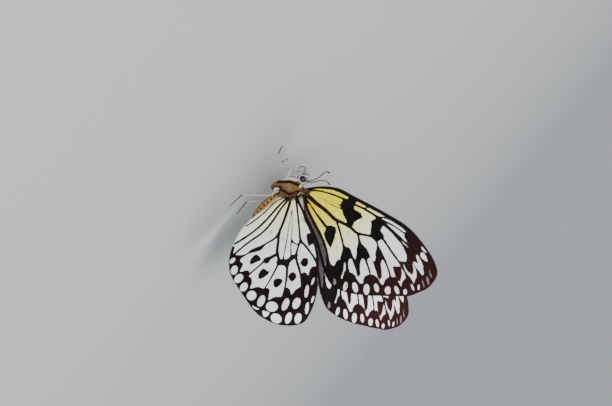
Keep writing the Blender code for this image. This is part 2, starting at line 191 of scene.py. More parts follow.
# Markings: patches by their corners, and ovals by centre, half sizes and turn. Most of these places, and
# of those of the veins and streaks above, were marked by eye on the picture and worked out on the wing's
# plane by separate scripts, through the view at the end of these tables.
BLACK_PATCHES = {
    "hindwing": (
        ((20.9, 18.6), (21.1, 17.5), (21.8, 14.6), (22.6, 15.3), (23.5, 15.8), (24.4, 15.4), (25.2, 14.5),
         (25.9, 14.3), (26.9, 14.5), (27.6, 14.9), (27.4, 15.4), (26.4, 16.7), (26.1, 18.5), (24.8, 19.6),
         (23.1, 19.7), (21.6, 19.2)),
        ((29.1, 14.3), (28.6, 13.1), (28.9, 11.8), (29.7, 11.5), (31.3, 11.4), (32.1, 10.4), (33.4, 9.9),
         (34.6, 9.8), (35.5, 10.2), (34.9, 10.7), (34.0, 11.9), (34.4, 13.6), (33.3, 14.8), (32.1, 13.2),
         (30.5, 13.3)),
        ((37.2, 9.2), (36.5, 8.4), (36.5, 7.2), (37.4, 5.8), (37.9, 5.0), (37.7, 4.6), (38.1, 3.5),
         (39.0, 3.0), (40.6, 2.9), (42.1, 2.9), (42.8, 3.2), (42.3, 4.1), (41.8, 5.8), (43.0, 7.3),
         (41.2, 8.3), (39.0, 7.6)),
        ((43.0, 2.2), (42.3, 1.5), (42.1, 0.4), (42.5, -1.0), (42.6, -2.1), (40.6, -2.4), (39.5, -2.7),
         (39.5, -3.0), (40.5, -3.9), (42.2, -4.6), (43.5, -5.0), (45.7, -5.3), (46.8, -4.9), (48.8, -3.8),
         (48.2, -1.5), (45.7, -0.8), (43.9, 0.5)),
        ((43.6, -4.9), (42.8, -5.3), (42.0, -5.7), (41.2, -6.1), (40.6, -6.8), (40.2, -7.7), (37.4, -7.3),
         (35.6, -7.1), (34.7, -7.8), (35.2, -8.7), (36.4, -9.5), (37.8, -10.1), (39.6, -10.3), (40.5, -9.9),
         (40.6, -9.2), (42.1, -8.8), (44.5, -9.2), (46.7, -9.1), (48.4, -8.3), (48.6, -6.1)),
        ((37.2, -10.0), (35.6, -9.8), (34.2, -10.0), (33.4, -10.4), (33.2, -11.1), (34.0, -12.0),
         (32.6, -12.1), (32.5, -12.5), (34.2, -12.8), (36.5, -12.8), (37.4, -12.2), (37.7, -11.4),
         (39.0, -10.9), (40.1, -10.9), (40.2, -10.4)),
        ((25.6, 11.7), (24.0, 11.4), (23.0, 10.6), (22.9, 9.8), (24.0, 8.7), (25.2, 8.0), (25.7, 8.5),
         (26.0, 9.7), (26.4, 10.6), (26.3, 11.4)),
        ((32.7, 7.7), (31.5, 7.8), (30.0, 7.3), (29.5, 6.5), (30.3, 5.5), (31.1, 4.9), (31.3, 4.0),
         (32.3, 4.7), (33.0, 5.7), (33.4, 6.8), (33.2, 7.4)),
        ((35.4, 2.1), (34.9, 1.5), (35.1, 0.1), (35.7, -0.7), (36.5, -0.9), (37.4, -0.5), (38.2, 0.3),
         (38.4, 0.9), (37.7, 1.6)),
        ((35.3, -2.9), (34.2, -3.1), (33.7, -3.8), (34.0, -4.7), (35.0, -5.4), (36.2, -5.6), (37.0, -5.1),
         (37.5, -4.5), (36.7, -3.7)),
        ((30.7, -6.4), (29.5, -6.6), (29.0, -7.2), (29.3, -8.3), (30.1, -8.7), (31.6, -8.9), (32.6, -8.5),
         (32.4, -7.8), (31.6, -7.0)),
        ((19.6, -7.1), (18.9, -7.3), (18.9, -8.1), (19.7, -9.1), (21.3, -9.7), (23.0, -9.8), (23.8, -9.5),
         (23.9, -8.7), (24.4, -8.5), (23.9, -8.1), (23.4, -8.1), (22.0, -7.6)),
        ((24.4, 2.5), (25.0, 4.6), (24.9, 6.0), (25.4, 7.1), (26.4, 6.6), (27.6, 5.9), (27.4, 5.1),
         (26.2, 4.6), (25.4, 3.1)),
        ((19.0, 7.2), (20.3, 7.9), (21.3, 8.8), (21.4, 10.0), (21.4, 12.1), (20.5, 12.8), (20.0, 12.0),
         (19.8, 10.6), (19.4, 9.2)),
        ((27.2, 1.8), (27.5, 0.8), (27.4, -0.1), (28.0, -1.0), (27.8, -1.8), (26.8, -2.6), (26.5, -3.2),
         (26.9, -4.2), (27.9, -4.0), (28.7, -2.9), (29.6, -2.3), (31.1, -2.1), (30.9, -1.4), (30.1, -0.9),
         (29.5, 0.2), (29.4, 1.0), (29.5, 1.6)),
    ),
    "forewing": (
        ((16.4, -6.6), (18.5, -6.7), (20.5, -6.3), (21.1, -4.5), (22.4, -3.6), (25.9, -3.6), (27.7, -2.8),
         (27.2, -1.6), (26.7, -0.1), (27.3, 1.1), (25.9, 1.9), (23.6, 0.7), (20.6, -0.5), (18.8, -1.6),
         (16.5, -2.4), (16.4, -3.7), (15.5, -4.4), (17.2, -5.4)),
        ((31.7, -3.3), (32.3, -4.6), (33.8, -5.2), (36.0, -5.2), (36.6, -3.6), (37.5, -2.0), (39.4, -1.5),
         (40.5, -0.9), (39.9, 1.2), (37.0, 0.6), (36.0, 0.8), (34.5, -0.8), (33.2, -2.1)),
        ((19.5, 5.9), (20.6, 4.9), (22.5, 4.6), (24.2, 5.7), (25.1, 7.2), (26.6, 8.8), (27.7, 10.8),
         (25.5, 10.2), (23.4, 9.4), (21.1, 8.3), (20.4, 7.0)),
        ((29.2, 13.6), (31.7, 14.9), (33.3, 15.2), (34.9, 15.1), (34.1, 13.5), (34.2, 12.9), (35.2, 12.4),
         (36.2, 12.3), (37.4, 13.3), (38.6, 14.4), (39.4, 15.5), (39.9, 16.4), (40.6, 17.2), (41.3, 16.7),
         (40.8, 15.9), (45.5, 18.9), (47.3, 20.4), (44.7, 20.7), (40.5, 21.4), (35.0, 18.7)),
        ((31.0, 7.9), (32.0, 8.1), (32.9, 7.8), (34.1, 7.9), (35.6, 8.6), (37.9, 9.6), (39.3, 10.0),
         (39.8, 9.8), (40.2, 8.9), (41.4, 9.8), (42.9, 11.1), (44.8, 12.5), (45.5, 13.5), (44.7, 13.4),
         (42.8, 12.4), (40.8, 11.4), (38.9, 10.5), (37.7, 10.1), (37.1, 10.2), (37.1, 10.9), (37.8, 11.8),
         (39.3, 13.1), (40.4, 13.8), (39.8, 14.1), (38.3, 12.8), (37.1, 12.0), (36.3, 11.8), (36.5, 12.5),
         (36.2, 12.3), (35.2, 12.4), (34.3, 12.0), (33.5, 11.0), (32.7, 9.9), (31.5, 8.6)),
        ((34.1, 4.0), (35.7, 4.6), (37.4, 4.8), (39.4, 5.2), (41.2, 5.9), (43.0, 6.8), (42.2, 6.8),
         (42.5, 7.6), (41.5, 7.7), (40.7, 7.9), (40.6, 8.7), (41.1, 9.5), (40.3, 9.9), (39.0, 9.4),
         (37.7, 7.9), (36.1, 6.6), (34.7, 4.8)),
        ((41.4, 2.5), (42.9, 3.0), (44.4, 3.5), (46.2, 4.2), (48.5, 5.1), (47.4, 4.9), (46.9, 5.2),
         (47.2, 6.0), (48.3, 7.1), (50.3, 8.5), (51.8, 9.7), (52.2, 10.7), (51.1, 10.4), (48.9, 9.3),
         (46.9, 8.3), (45.2, 7.4), (44.3, 7.3), (45.2, 7.1), (45.4, 6.8), (44.6, 5.8), (43.3, 4.8),
         (42.5, 3.9)),
        ((52.5, 5.5), (52.7, 5.0), (53.5, 4.7), (54.1, 4.2), (55.0, 4.6), (56.6, 5.7), (57.9, 7.1),
         (58.4, 7.9), (57.6, 7.9), (56.0, 7.4), (54.1, 6.5)),
        ((40.5, 15.9), (39.7, 14.8), (39.7, 14.0), (40.3, 13.6), (41.5, 14.0), (42.7, 13.8), (44.3, 14.1),
         (46.1, 14.8), (47.4, 15.6), (49.0, 14.6), (47.7, 13.4), (47.2, 12.4), (47.3, 11.5), (48.1, 11.3),
         (48.5, 11.1), (48.7, 10.6), (50.2, 10.7), (52.0, 11.1), (53.7, 11.8), (54.2, 12.0), (54.9, 11.6),
         (53.9, 10.2), (53.8, 9.1), (54.2, 8.4), (55.0, 8.3), (55.6, 7.8), (57.0, 8.0), (58.5, 8.6),
         (60.2, 9.5), (60.7, 9.2), (59.5, 8.0), (59.1, 7.0), (59.4, 6.5), (60.5, 6.5), (62.0, 6.8),
         (67.2, 10.3), (57.7, 15.5), (52.2, 18.8), (47.0, 21.0)),
    ),
}
APEX_PATCH = (
    (38.3, -8.8), (43.5, -6.7), (45.8, -6.1), (45.3, -5.6), (47.1, -4.9), (46.0, -4.7), (47.2, -4.1),
    (49.6, -3.3), (51.2, -2.2), (51.1, -1.8), (49.8, -2.0), (48.4, -2.1), (50.7, -0.9), (52.8, 0.3),
    (54.2, 1.6), (54.2, 2.1), (52.7, 2.6), (53.9, 3.1), (55.5, 3.9), (57.8, 4.9), (60.4, 6.5),
    (65.9, 10.7), (69.3, 7.8), (69.0, 3.2), (64.9, -1.4), (53.2, -6.8), (45.3, -8.6),
)
WHITE_OVALS = {
    "hindwing": (
        (23.0, 18.4, 1.14, 0.92, 31), (27.3, 17.0, 1.95, 1.21, -13), (31.2, 14.8, 1.74, 1.54, -6),
        (35.3, 12.3, 1.85, 1.36, -14), (39.4, 9.0, 2.04, 1.47, -32), (42.5, 5.2, 2.22, 1.34, -2),
        (45.6, 1.2, 2.31, 1.61, -46), (46.0, -3.4, 2.29, 1.22, 4), (46.4, -7.0, 2.10, 1.25, 0),
        (42.5, -9.8, 2.42, 0.71, -2), (39.2, -11.5, 1.42, 0.44, 9),
    ),
    "forewing": (
        (44.2, 18.1, 1.73, 0.68, 47), (47.5, 16.8, 2.16, 0.79, 26), (51.4, 15.4, 2.04, 0.92, 37),
        (53.8, 13.4, 1.91, 0.66, 27), (57.5, 12.1, 1.57, 0.86, 32), (59.9, 10.6, 1.77, 0.56, 24),
        (62.7, 9.7, 1.05, 0.55, 34), (63.6, 7.5, 1.39, 0.31, 25), (65.2, 6.5, 1.09, 0.33, 42),
    ),
}
PALE_OVALS = {
    "hindwing": (),
    "forewing": (
        (65.2, 4.9, 1.35, 0.17, 29), (65.7, 3.4, 1.51, 0.22, 32), (64.4, 1.2, 1.37, 0.14, 29),
        (39.7, 18.9, 1.27, 0.40, 30),
    ),
}
WHITE_PATCHES = {
    "hindwing": (),
    "forewing": (
        ((54.1, 2.9), (54.8, 3.2), (56.5, 3.9), (57.8, 4.3), (59.3, 4.4), (60.1, 4.4), (58.8, 2.8),
         (57.3, 1.8), (56.5, 1.2), (57.0, 1.3), (58.6, 2.1), (60.2, 3.1), (61.4, 4.1), (62.2, 5.3),
         (62.8, 6.3), (61.7, 5.8), (60.3, 5.3), (58.7, 5.0), (56.8, 4.4), (55.2, 3.6)),
        ((55.5, -1.2), (55.5, -1.6), (56.7, -1.2), (58.1, -0.6), (59.4, -0.0), (60.4, 0.5), (61.3, 1.4),
         (62.4, 2.0), (62.8, 2.8), (62.0, 2.7), (60.8, 2.3), (59.4, 1.9), (58.1, 1.5), (56.8, 1.0),
         (56.5, 0.7), (57.3, 0.6), (58.1, 0.7), (58.2, 0.4), (57.0, -0.3), (56.2, -0.7)),
        ((56.4, -2.1), (56.1, -2.9), (56.9, -3.0), (58.3, -2.6), (60.4, -1.4), (60.0, -1.2), (58.8, -1.3),
         (57.6, -1.5)),
        ((54.3, -4.4), (55.2, -4.4), (56.3, -4.2), (57.5, -3.8), (57.3, -3.5), (56.0, -3.6), (55.0, -3.9)),
    ),
}
# Faint grey ovals: painted show-through, the far face's markings seen through the thin membrane, drawn as
# painted shade on this face.
SHOW_THROUGH_OVALS = {
    "hindwing": ((14.4, 5.9, 0.8, 0.5, -32), (18.9, 0.9, 0.7, 0.6, -59), (12.1, -5.3, 1.4, 0.9, -25)),
    "forewing": ((28.2, 3.8, 0.5, 0.35, 18), (27.6, -2.2, 0.9, 0.5, 10)),
}
EDGE_BLACK = {"forewing": 1.3, "hindwing": 1.15}
RING_BLACK = {"forewing": 0.9, "hindwing": 0.95}
VEIN_SWELL = {"forewing": 1.5, "hindwing": 1.9}
ROOT_BLACK = {"forewing": 1.9, "hindwing": 1.6}

# Trunk: rings by place, middle height, half width and half height
THORAX = (
    (-6.62, -4.0, 0.35, 0.35), (-6.5, -4.05, 1.3, 1.5), (-6.1, -4.1, 2.1, 2.4), (-4.9, -3.6, 2.75, 3.3),
    (-3.0, -2.6, 3.15, 4.1), (-1.0, -1.9, 3.2, 4.4), (0.7, -1.6, 2.8, 4.0), (1.9, -1.7, 1.9, 2.9),
    (2.3, -1.9, 1.1, 1.6), (2.42, -1.9, 0.35, 0.5),
)
ABDOMEN_START, ABDOMEN_END, ABDOMEN_RISE, ABDOMEN_HEIGHT = -6.0, -17.4, 0.14, -2.85
ABDOMEN_RADIUS = 1.6
SEGMENT_START, SEGMENT_LENGTH = -6.35, 1.5
HEAD_CENTRE, HEAD_RADII = (3.3, 0.0, -2.2), (1.75, 1.7, 1.9)
EYE_CENTRE, EYE_RADII = (3.6, 1.35, -2.05), (1.02, 0.78, 1.18)
CENTRE_LINE = ((-17.4, -1.3), (-12.0, -2.0), (-8.0, -2.7), (-6.0, -3.2), (-3.0, -2.6), (0.7, -1.8),
               (2.4, -2.0), (3.3, -2.2), (5.05, -2.2))

# Feelers and mouth parts
FEELERS = {
    1: ((4.2, 0.75, -0.9), (5.6, 1.7, 0.1), (7.8, 4.0, 1.1), (9.6, 6.8, 1.5), (10.6, 9.4, 2.2),
        (10.9, 11.6, 3.6)),
    -1: ((4.2, 0.75, -0.9), (5.6, 1.7, -0.1), (7.7, 4.0, 0.2), (9.3, 6.8, 0.4), (10.3, 9.4, 0.9),
         (10.6, 11.6, 2.0)),
}
PALP = ((4.3, 0.6, -3.2), (5.4, 0.65, -3.0), (5.85, 0.68, -2.4), (6.0, 0.7, -1.9))
COIL_CENTRE, COIL_START, COIL_TURNS, COIL_OUTER, COIL_INNER = (5.1, -5.2), 105.0, -1.2, 1.35, 0.6

# Hinge lobes: rings, points on each ring, and the tiles that the hinges of one side share
HINGE_RINGS, HINGE_COLUMNS, HINGE_TILES = 22, 28, 20

# Viewing direction of the picture: the body's axes as the camera sees them, and its place. A
# least-squares fit gave these numbers for a distance of 350 mm, which was assumed and not measured.
VIEW_FORWARD = (0.81968613, 0.5707391, -0.04869827)
VIEW_LEFT = (-0.07655957, 0.19341212, 0.97812595)
VIEW_UP = (0.56767356, -0.79802796, 0.20223277)
VIEW_PLACE = (-2.6748, 3.81335, -350.0)
FOCAL_SHARE = 1075.018 / 612.0


def to_world(points):
    """Forward, left and up in millimetres, turned into metres in the frame."""
    f, l, u = np.asarray(points, float).reshape(-1, 3).T
    x = BODY_PLACE[0] - f * math.cos(PITCH) + u * math.sin(PITCH)
    z = BODY_PLACE[2] + f * math.sin(PITCH) + u * math.cos(PITCH)
    return np.stack([x, BODY_PLACE[1] - l, z], 1) * MM


def stance(back, left, height):
    """A point above the floor, turned into forward, left and up in the body."""
    rise = height - BODY_PLACE[2]
    forward = -(back * math.cos(PITCH) - rise * math.sin(PITCH))
    return forward, left, back * math.sin(PITCH) + rise * math.cos(PITCH)


def smooth_step(value, low, high):
    t = np.clip((value - low) / (high - low), 0.0, 1.0)
    return t * t * (3 - 2 * t)


def smooth_path(points, step):
    """A smooth line through the points, with places about a step apart."""
    points = np.asarray(points, float)
    gaps = np.linalg.norm(np.diff(points, axis=0), axis=1)
    places = np.concatenate([[0.0], np.cumsum(gaps)])
    slopes = np.gradient(points, places, axis=0)
    at = np.linspace(0.0, places[-1], max(int(places[-1] / step), 2) + 1)
    i = np.clip(np.searchsorted(places, at, side="right") - 1, 0, len(gaps) - 1)
    t = ((at - places[i]) / gaps[i])[:, None]
    h = gaps[i][:, None]
    start = (1 + 2 * t) * (1 - t) ** 2 * points[i] + t * (1 - t) ** 2 * h * slopes[i]
    return start + t * t * (3 - 2 * t) * points[i + 1] + t * t * (t - 1) * h * slopes[i + 1]


# Distances in the wing's plane: negative inside a shape

def stroke(p, line, first, last):
    """Distance to a line whose full width goes from first to last."""
    line = np.asarray(line, float)
    lengths = np.linalg.norm(np.diff(line, axis=0), axis=1)
    places = np.concatenate([[0.0], np.cumsum(lengths)]) / lengths.sum()
    best = np.full(len(p), 1e3)
    for a, b, start, end in zip(line, line[1:], places, places[1:]):
        t = np.clip(((p - a) @ (b - a)) / ((b - a) @ (b - a)), 0, 1)
        away = np.linalg.norm(p - a - t[:, None] * (b - a), axis=1)
        half = 0.5 * (first + (last - first) * (start + t * (end - start)))
        best = np.minimum(best, away - half)
    return best


def oval(p, shape, grow=0.0):
    u, v, long, wide, turn = shape
    turn = math.radians(turn)
    d = p - (u, v)
    x = d[:, 0] * math.cos(turn) + d[:, 1] * math.sin(turn)
    y = d[:, 1] * math.cos(turn) - d[:, 0] * math.sin(turn)
    long, wide = long + grow, wide + grow
    near = np.hypot(x / long, y / wide) + 1e-9
    steep = np.hypot(x / long**2, y / wide**2) + 1e-9
    return near * (near - 1) / steep


def patch(p, corners, rounding=0.0):
    corners = np.asarray(corners, float)
    away = np.full(len(p), 1e6)
    inside = np.zeros(len(p), bool)
    for a, b in zip(corners, np.roll(corners, -1, axis=0)):
        t = np.clip(((p - a) @ (b - a)) / ((b - a) @ (b - a)), 0, 1)
        away = np.minimum(away, np.linalg.norm(p - a - t[:, None] * (b - a), axis=1))
        crosses = (a[1] > p[:, 1]) != (b[1] > p[:, 1])
        with np.errstate(divide="ignore", invalid="ignore"):
            place = (b[0] - a[0]) * (p[:, 1] - a[1]) / (b[1] - a[1]) + a[0]
        inside ^= crosses & (p[:, 0] < place)
    return np.where(inside, -away, away) - rounding


def joined(parts, sharp=6.0):
    """The distance to several shapes at once, with their corners run together."""
    total = np.full(len(parts[0]), 1e-30)
    for part in parts:
        total += np.exp(np.clip(-sharp * part, -60, 60))
    return -np.log(total) / sharp


def outline_path(kind, step=0.3):
    front, tip, rear = OUTLINES[kind]
    return smooth_path((*front, tip, *reversed(rear)), step)


def outer_margin(kind):
    """The part of the outline away from the body."""
    path = outline_path(kind, 0.5)
    if kind == "forewing":
        return path[(path[:, 0] > 38.0) & ((path[:, 1] > 0.0) | (path[:, 0] > 62.0))]
    return path[(path[:, 0] > 17.5) & ((path[:, 1] > 0.0) | (path[:, 0] > 34.0))]


def wing_marks(kind, p):
    """Distances to the markings and the strength of each tint, at points of the wing's plane."""
    swell = VEIN_SWELL[kind]
    veins = [stroke(p, smooth_path(line, 1.0), a * swell, b * swell) for a, b, line in VEINS[kind].values()]
    black = list(veins)
    black += [stroke(p, smooth_path(line, 1.0), a, b) for a, b, line in STREAKS[kind]]
    black += [patch(p, corners, 0.12) for corners in BLACK_PATCHES[kind]]
    black += [oval(p, shape, RING_BLACK[kind]) for shape in WHITE_OVALS[kind]]
    black.append(stroke(p, outer_margin(kind), 0.0, 0.0) - EDGE_BLACK[kind])
    black.append(np.hypot(*p.T) - ROOT_BLACK[kind])
    u, v = p.T
    if kind == "forewing":
        black.append(patch(p, APEX_PATCH, 0.1))
        black.append(stroke(p, VEINS[kind]["front_edge"][2], 1.2, 2.0))
        black.append(u + 0.6)
    whites = [oval(p, shape) for shape in WHITE_OVALS[kind]]
    whites += [patch(p, corners, 0.05) for corners in WHITE_PATCHES[kind]]
    pale = [oval(p, shape) for shape in PALE_OVALS[kind]] or [np.full(len(p), 9.0)]
    show_through = joined([oval(p, shape) for shape in SHOW_THROUGH_OVALS[kind]])
    marks = {"black_mm": joined(black), "white_mm": joined(whites), "pale_mm": joined(pale), "grey_mm": show_through}
    if kind == "forewing":
        reach = u + 0.25 * np.maximum(v, 0.0)
        behind = v - np.interp(u, *np.transpose(VEINS[kind]["second_anal"][2]))
        marks["yellow"] = 1 - smooth_step(reach, 16.0, 32.0)
        marks["cream"] = 1 - smooth_step(reach, 24.0, 44.0)
        marks["deep"] = (1 - smooth_step(u, 2.0, 15.0)) * (0.35 + 0.65 * smooth_step(v, 0.6, 2.2))
        marks["maroon"] = smooth_step(u + 0.15 * v, 38.0, 60.0)
        marks["tan"] = smooth_step(behind, 0.15, 0.5) * (1 - smooth_step(u, 30.0, 38.0))
        marks["dusk"] = smooth_step(u, 8.0, 20.0)
    else:
        marks["yellow"] = 0.0 * u
        marks["cream"] = 0.75 * (1 - smooth_step(np.hypot(u, v), 3.0, 27.0))
        marks["deep"] = 0.0 * u
        marks["maroon"] = 0.25 + 0.0 * u
        marks["tan"] = 0.0 * u
        marks["dusk"] = 0.0 * u
    near_vein = veins[0]
    for part in veins[1:]:
        near_vein = np.minimum(near_vein, part)
    return marks, near_vein


def wing_axes(kind, side):
    lift, sweep = np.radians(LIFT_AND_SWEEP[kind, side])
    out = np.array([0.0, side * math.cos(lift), math.sin(lift)])
    forward = np.array([1.0, 0.0, 0.0])
    along = math.cos(sweep) * out + math.sin(sweep) * forward
    behind = math.sin(sweep) * out - math.cos(sweep) * forward
    root = np.array(ROOTS[kind]) * (1, side, 1)
    return root, along, behind, side * np.cross(along, behind), sweep


def wing_surface(kind, side, p, offset):
    """Points of the wing's middle surface, moved by an offset towards its upper side."""
    root, along, behind, above, sweep = wing_axes(kind, side)
    reach = np.clip((p[:, 0] * math.cos(sweep) + p[:, 1] * math.sin(sweep)) / BOW_SPAN, 0, 1)
    rise = WING_BOW * 4 * reach * (1 - reach) + offset
    made = root + p[:, :1] * along + p[:, 1:] * behind + rise[:, None] * above
    inner = side * made[:, 1]
    made[:, 1] = side * np.maximum(inner, MIDLINE_GAP)
    return made


def rounded_ends(share, reach):
    """Width along a tube, from 0 to 1, which closes over the given share of its length at both ends."""
    return np.sqrt(np.clip(share / reach, 0.05, 1)) * np.sqrt(np.clip((1 - share) / reach, 0.05, 1))


def fluting(p, near_vein, depth):
    """How far the membrane sinks between its veins and waves towards its margin."""
    u, v = p.T
    calm = smooth_step(u, 1.0, 6.0)
    sag = 1 - np.exp(-((np.maximum(near_vein, 0) / 1.5) ** 2))
    wave = np.sin(0.72 * v - 0.11 * u) * smooth_step(u, 18.0, 55.0)
    return calm * (-depth * sag + 0.9 * depth * wave)


def spikes(roots, normals, leans, lengths, widths, curls):
    """Thin pointed tufts with three sides and one bend. Returns points and faces."""
    across = np.cross(normals, leans)
    across /= np.linalg.norm(across, axis=1)[:, None] + 1e-12
    leans = leans / (np.linalg.norm(leans, axis=1)[:, None] + 1e-12)
    fore = np.cross(across, leans)
    fore /= np.linalg.norm(fore, axis=1)[:, None] + 1e-12
    size = lengths[:, None]
    wide = widths[:, None]
    middle = roots + leans * size * 0.55
    tip = middle + (leans * (1 - curls[:, None]) - normals * curls[:, None]) * size * 0.5
    rings = []
    for centre, share in ((roots, 1.0), (middle, 0.8)):
        rings += [centre + across * wide * share, centre - across * wide * share,
                  centre + fore * wide * share * 0.6]
    points = np.stack([*rings, tip], 1).reshape(-1, 3)
    first = np.arange(len(roots))[:, None] * 7
    faces = []
    for a, b in ((0, 1), (1, 2), (2, 0)):
        faces += [(a, b, b + 3), (a, b + 3, a + 3), (a + 3, b + 3, 6)]
    faces.append((2, 1, 0))
    faces = (first[:, None, :] + np.array(faces)[None, :, :]).reshape(-1, 3)
    return points, faces


TUFT_UV = np.array([(-1, -1), (1, -1), (0, -0.6), (-0.7, 0), (0.7, 0), (0, 0.3), (0, 1)]) * 0.0015


class Shape:
    """Points, faces, maps and values, gathered before they become one mesh."""

    def __init__(self):
        self.points, self.faces, self.maps, self.values = [], [], [], {}
        self.count = 0

    def add(self, points, faces, uv, **values):
        """Adds a piece. The map is given for each point, or for each corner of each face."""
        self.points.append(points)
        for group in faces if isinstance(faces, list) else [faces]:
            self.faces.append(group + self.count)
            self.maps.append(uv[group] if uv.ndim == 2 else uv)
        for key, value in values.items():
            self.values.setdefault(key, []).append(value)
        self.count += len(points)

    def make(self, name, look, slot, *nodes, smooth=True):
        mesh = bpy.data.meshes.new(name)
        points = np.concatenate(self.points)
        sizes = np.concatenate([np.full(len(g), g.shape[1]) for g in self.faces])
        corners = np.concatenate([g.ravel() for g in self.faces])
        mesh.vertices.add(len(points))
        mesh.vertices.foreach_set("co", points.astype(np.float32).ravel())
        mesh.loops.add(len(corners))
        mesh.loops.foreach_set("vertex_index", corners.astype(np.int32))
        mesh.polygons.add(len(sizes))
        mesh.polygons.foreach_set("loop_start", (np.cumsum(sizes) - sizes).astype(np.int32))
        mesh.polygons.foreach_set("loop_total", sizes.astype(np.int32))
        mesh.update(calc_edges=True)
        uv = np.concatenate([m.reshape(-1, 2) for m in self.maps])
        layer = mesh.uv_layers.new(name="OFBake")
        layer.data.foreach_set("uv", uv.astype(np.float32).ravel())
        for key, value in self.values.items():
            value = np.concatenate(value).astype(np.float32)
            if value.ndim == 2:
                field = mesh.attributes.new(key, "FLOAT_COLOR", "POINT")
                alpha = np.ones((len(value), 1), np.float32)
                field.data.foreach_set("color", np.hstack([value, alpha]).ravel())
            else:
                mesh.attributes.new(key, "FLOAT", "POINT").data.foreach_set("value", value)
        mesh.polygons.foreach_set("use_smooth", np.full(len(sizes), smooth))
        mesh.validate()
        mesh.update()
        made = bpy.data.objects.new(name, mesh)
        bpy.context.scene.collection.objects.link(made)
        mesh.materials.append(look)
        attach(made, BODY)
        if nodes:
            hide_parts(*nodes)
        return made


def tube_faces(rows, columns):
    """Faces round a tube of rings, with both ends closed by a fan, and a map for each corner."""
    i, j = np.meshgrid(np.arange(rows - 1), np.arange(columns), indexing="ij")
    n = (j + 1) % columns
    quads = np.stack([i * columns + j, i * columns + n, (i + 1) * columns + n, (i + 1) * columns + j], -1)
    a, b = j / columns, (j + 1) / columns
    low, high = i / rows, (i + 1) / rows
    uv = np.stack([np.stack([a, low], -1), np.stack([b, low], -1), np.stack([b, high], -1),
                   np.stack([a, high], -1)], -2)
    k = np.arange(columns)
    m = (k + 1) % columns
    last = (rows - 1) * columns
    total = rows * columns
    caps = np.concatenate([
        np.stack([m, k, np.full(columns, total)], 1),
        np.stack([last + k, last + m, np.full(columns, total + 1)], 1),
    ])
    ends = np.zeros((2 * columns, 3, 2))
    ends[:, :, 0] = np.tile(k / columns, 2)[:, None]
    ends[columns:, :, 1] = (rows - 1) / rows
    return quads.reshape(-1, 4), uv.reshape(-1, 4, 2), caps, ends


def in_tile(uv, tile):
    """Moves a map into one tile of a square grid of tiles: its number, and how many there are."""
    number, total = tile
    side = math.ceil(math.sqrt(total))
    return (0.04 + 0.92 * uv + (number % side, number // side)) / side


def tuft_map(across, along, tile):
    """A small patch of the map for each tuft, at its root's place in one tile."""
    places = in_tile(np.stack([across, along], 1), tile)
    return (places[:, None, :] + TUFT_UV).reshape(-1, 2)


def add_tube(shape, rings, tile=(0, 1), **values):
    """Adds a closed tube given as rings of points, with its ends fanned to their middles."""
    rows, columns = rings.shape[:2]
    quads, uv, caps, ends = tube_faces(rows, columns)
    if tile[1] > 1:
        uv, ends = in_tile(uv, tile), in_tile(ends, tile)
    points = np.concatenate([rings.reshape(-1, 3), [rings[0].mean(0), rings[-1].mean(0)]])
    extra = {}
    for key, value in values.items():
        middles = [value[0].mean(0), value[-1].mean(0)]
        extra[key] = np.concatenate([value.reshape(-1, *value.shape[2:]), middles])
    shape.points.append(points)
    for group, maps in ((quads, uv), (caps, ends)):
        shape.faces.append(group + shape.count)
        shape.maps.append(maps)
    for key, value in extra.items():
        shape.values.setdefault(key, []).append(value)
    shape.count += len(points)


def swept_rings(path, radii, columns, flat=1.0, hint=(0.0, 0.0, 1.0)):
    """Rings round a path in the body frame, kept from twisting."""
    path = np.asarray(path, float)
    ahead = np.gradient(path, axis=0)
    ahead /= np.linalg.norm(ahead, axis=1)[:, None]
    side = np.cross(ahead[0], hint)
    rings = []
    turn = np.arange(columns) * 2 * math.pi / columns
    for place, direction, radius in zip(path, ahead, radii):
        side = side - direction * (side @ direction)
        side /= np.linalg.norm(side)
        other = np.cross(direction, side)
        rings.append(place + radius * (np.cos(turn)[:, None] * side + flat * np.sin(turn)[:, None] * other))
    return np.array(rings)


def ring_normals(rings):
    """Outward directions at the points of a tube's rings."""
    around = np.roll(rings, -1, axis=1) - np.roll(rings, 1, axis=1)
    ahead = np.gradient(rings, axis=0)
    normal = np.cross(around, ahead)
    normal /= np.linalg.norm(normal, axis=2)[:, :, None] + 1e-12
    middle = rings.mean(axis=1, keepdims=True)
    if ((rings - middle) * normal).sum() < 0:
        normal = -normal
    return normal


# Materials

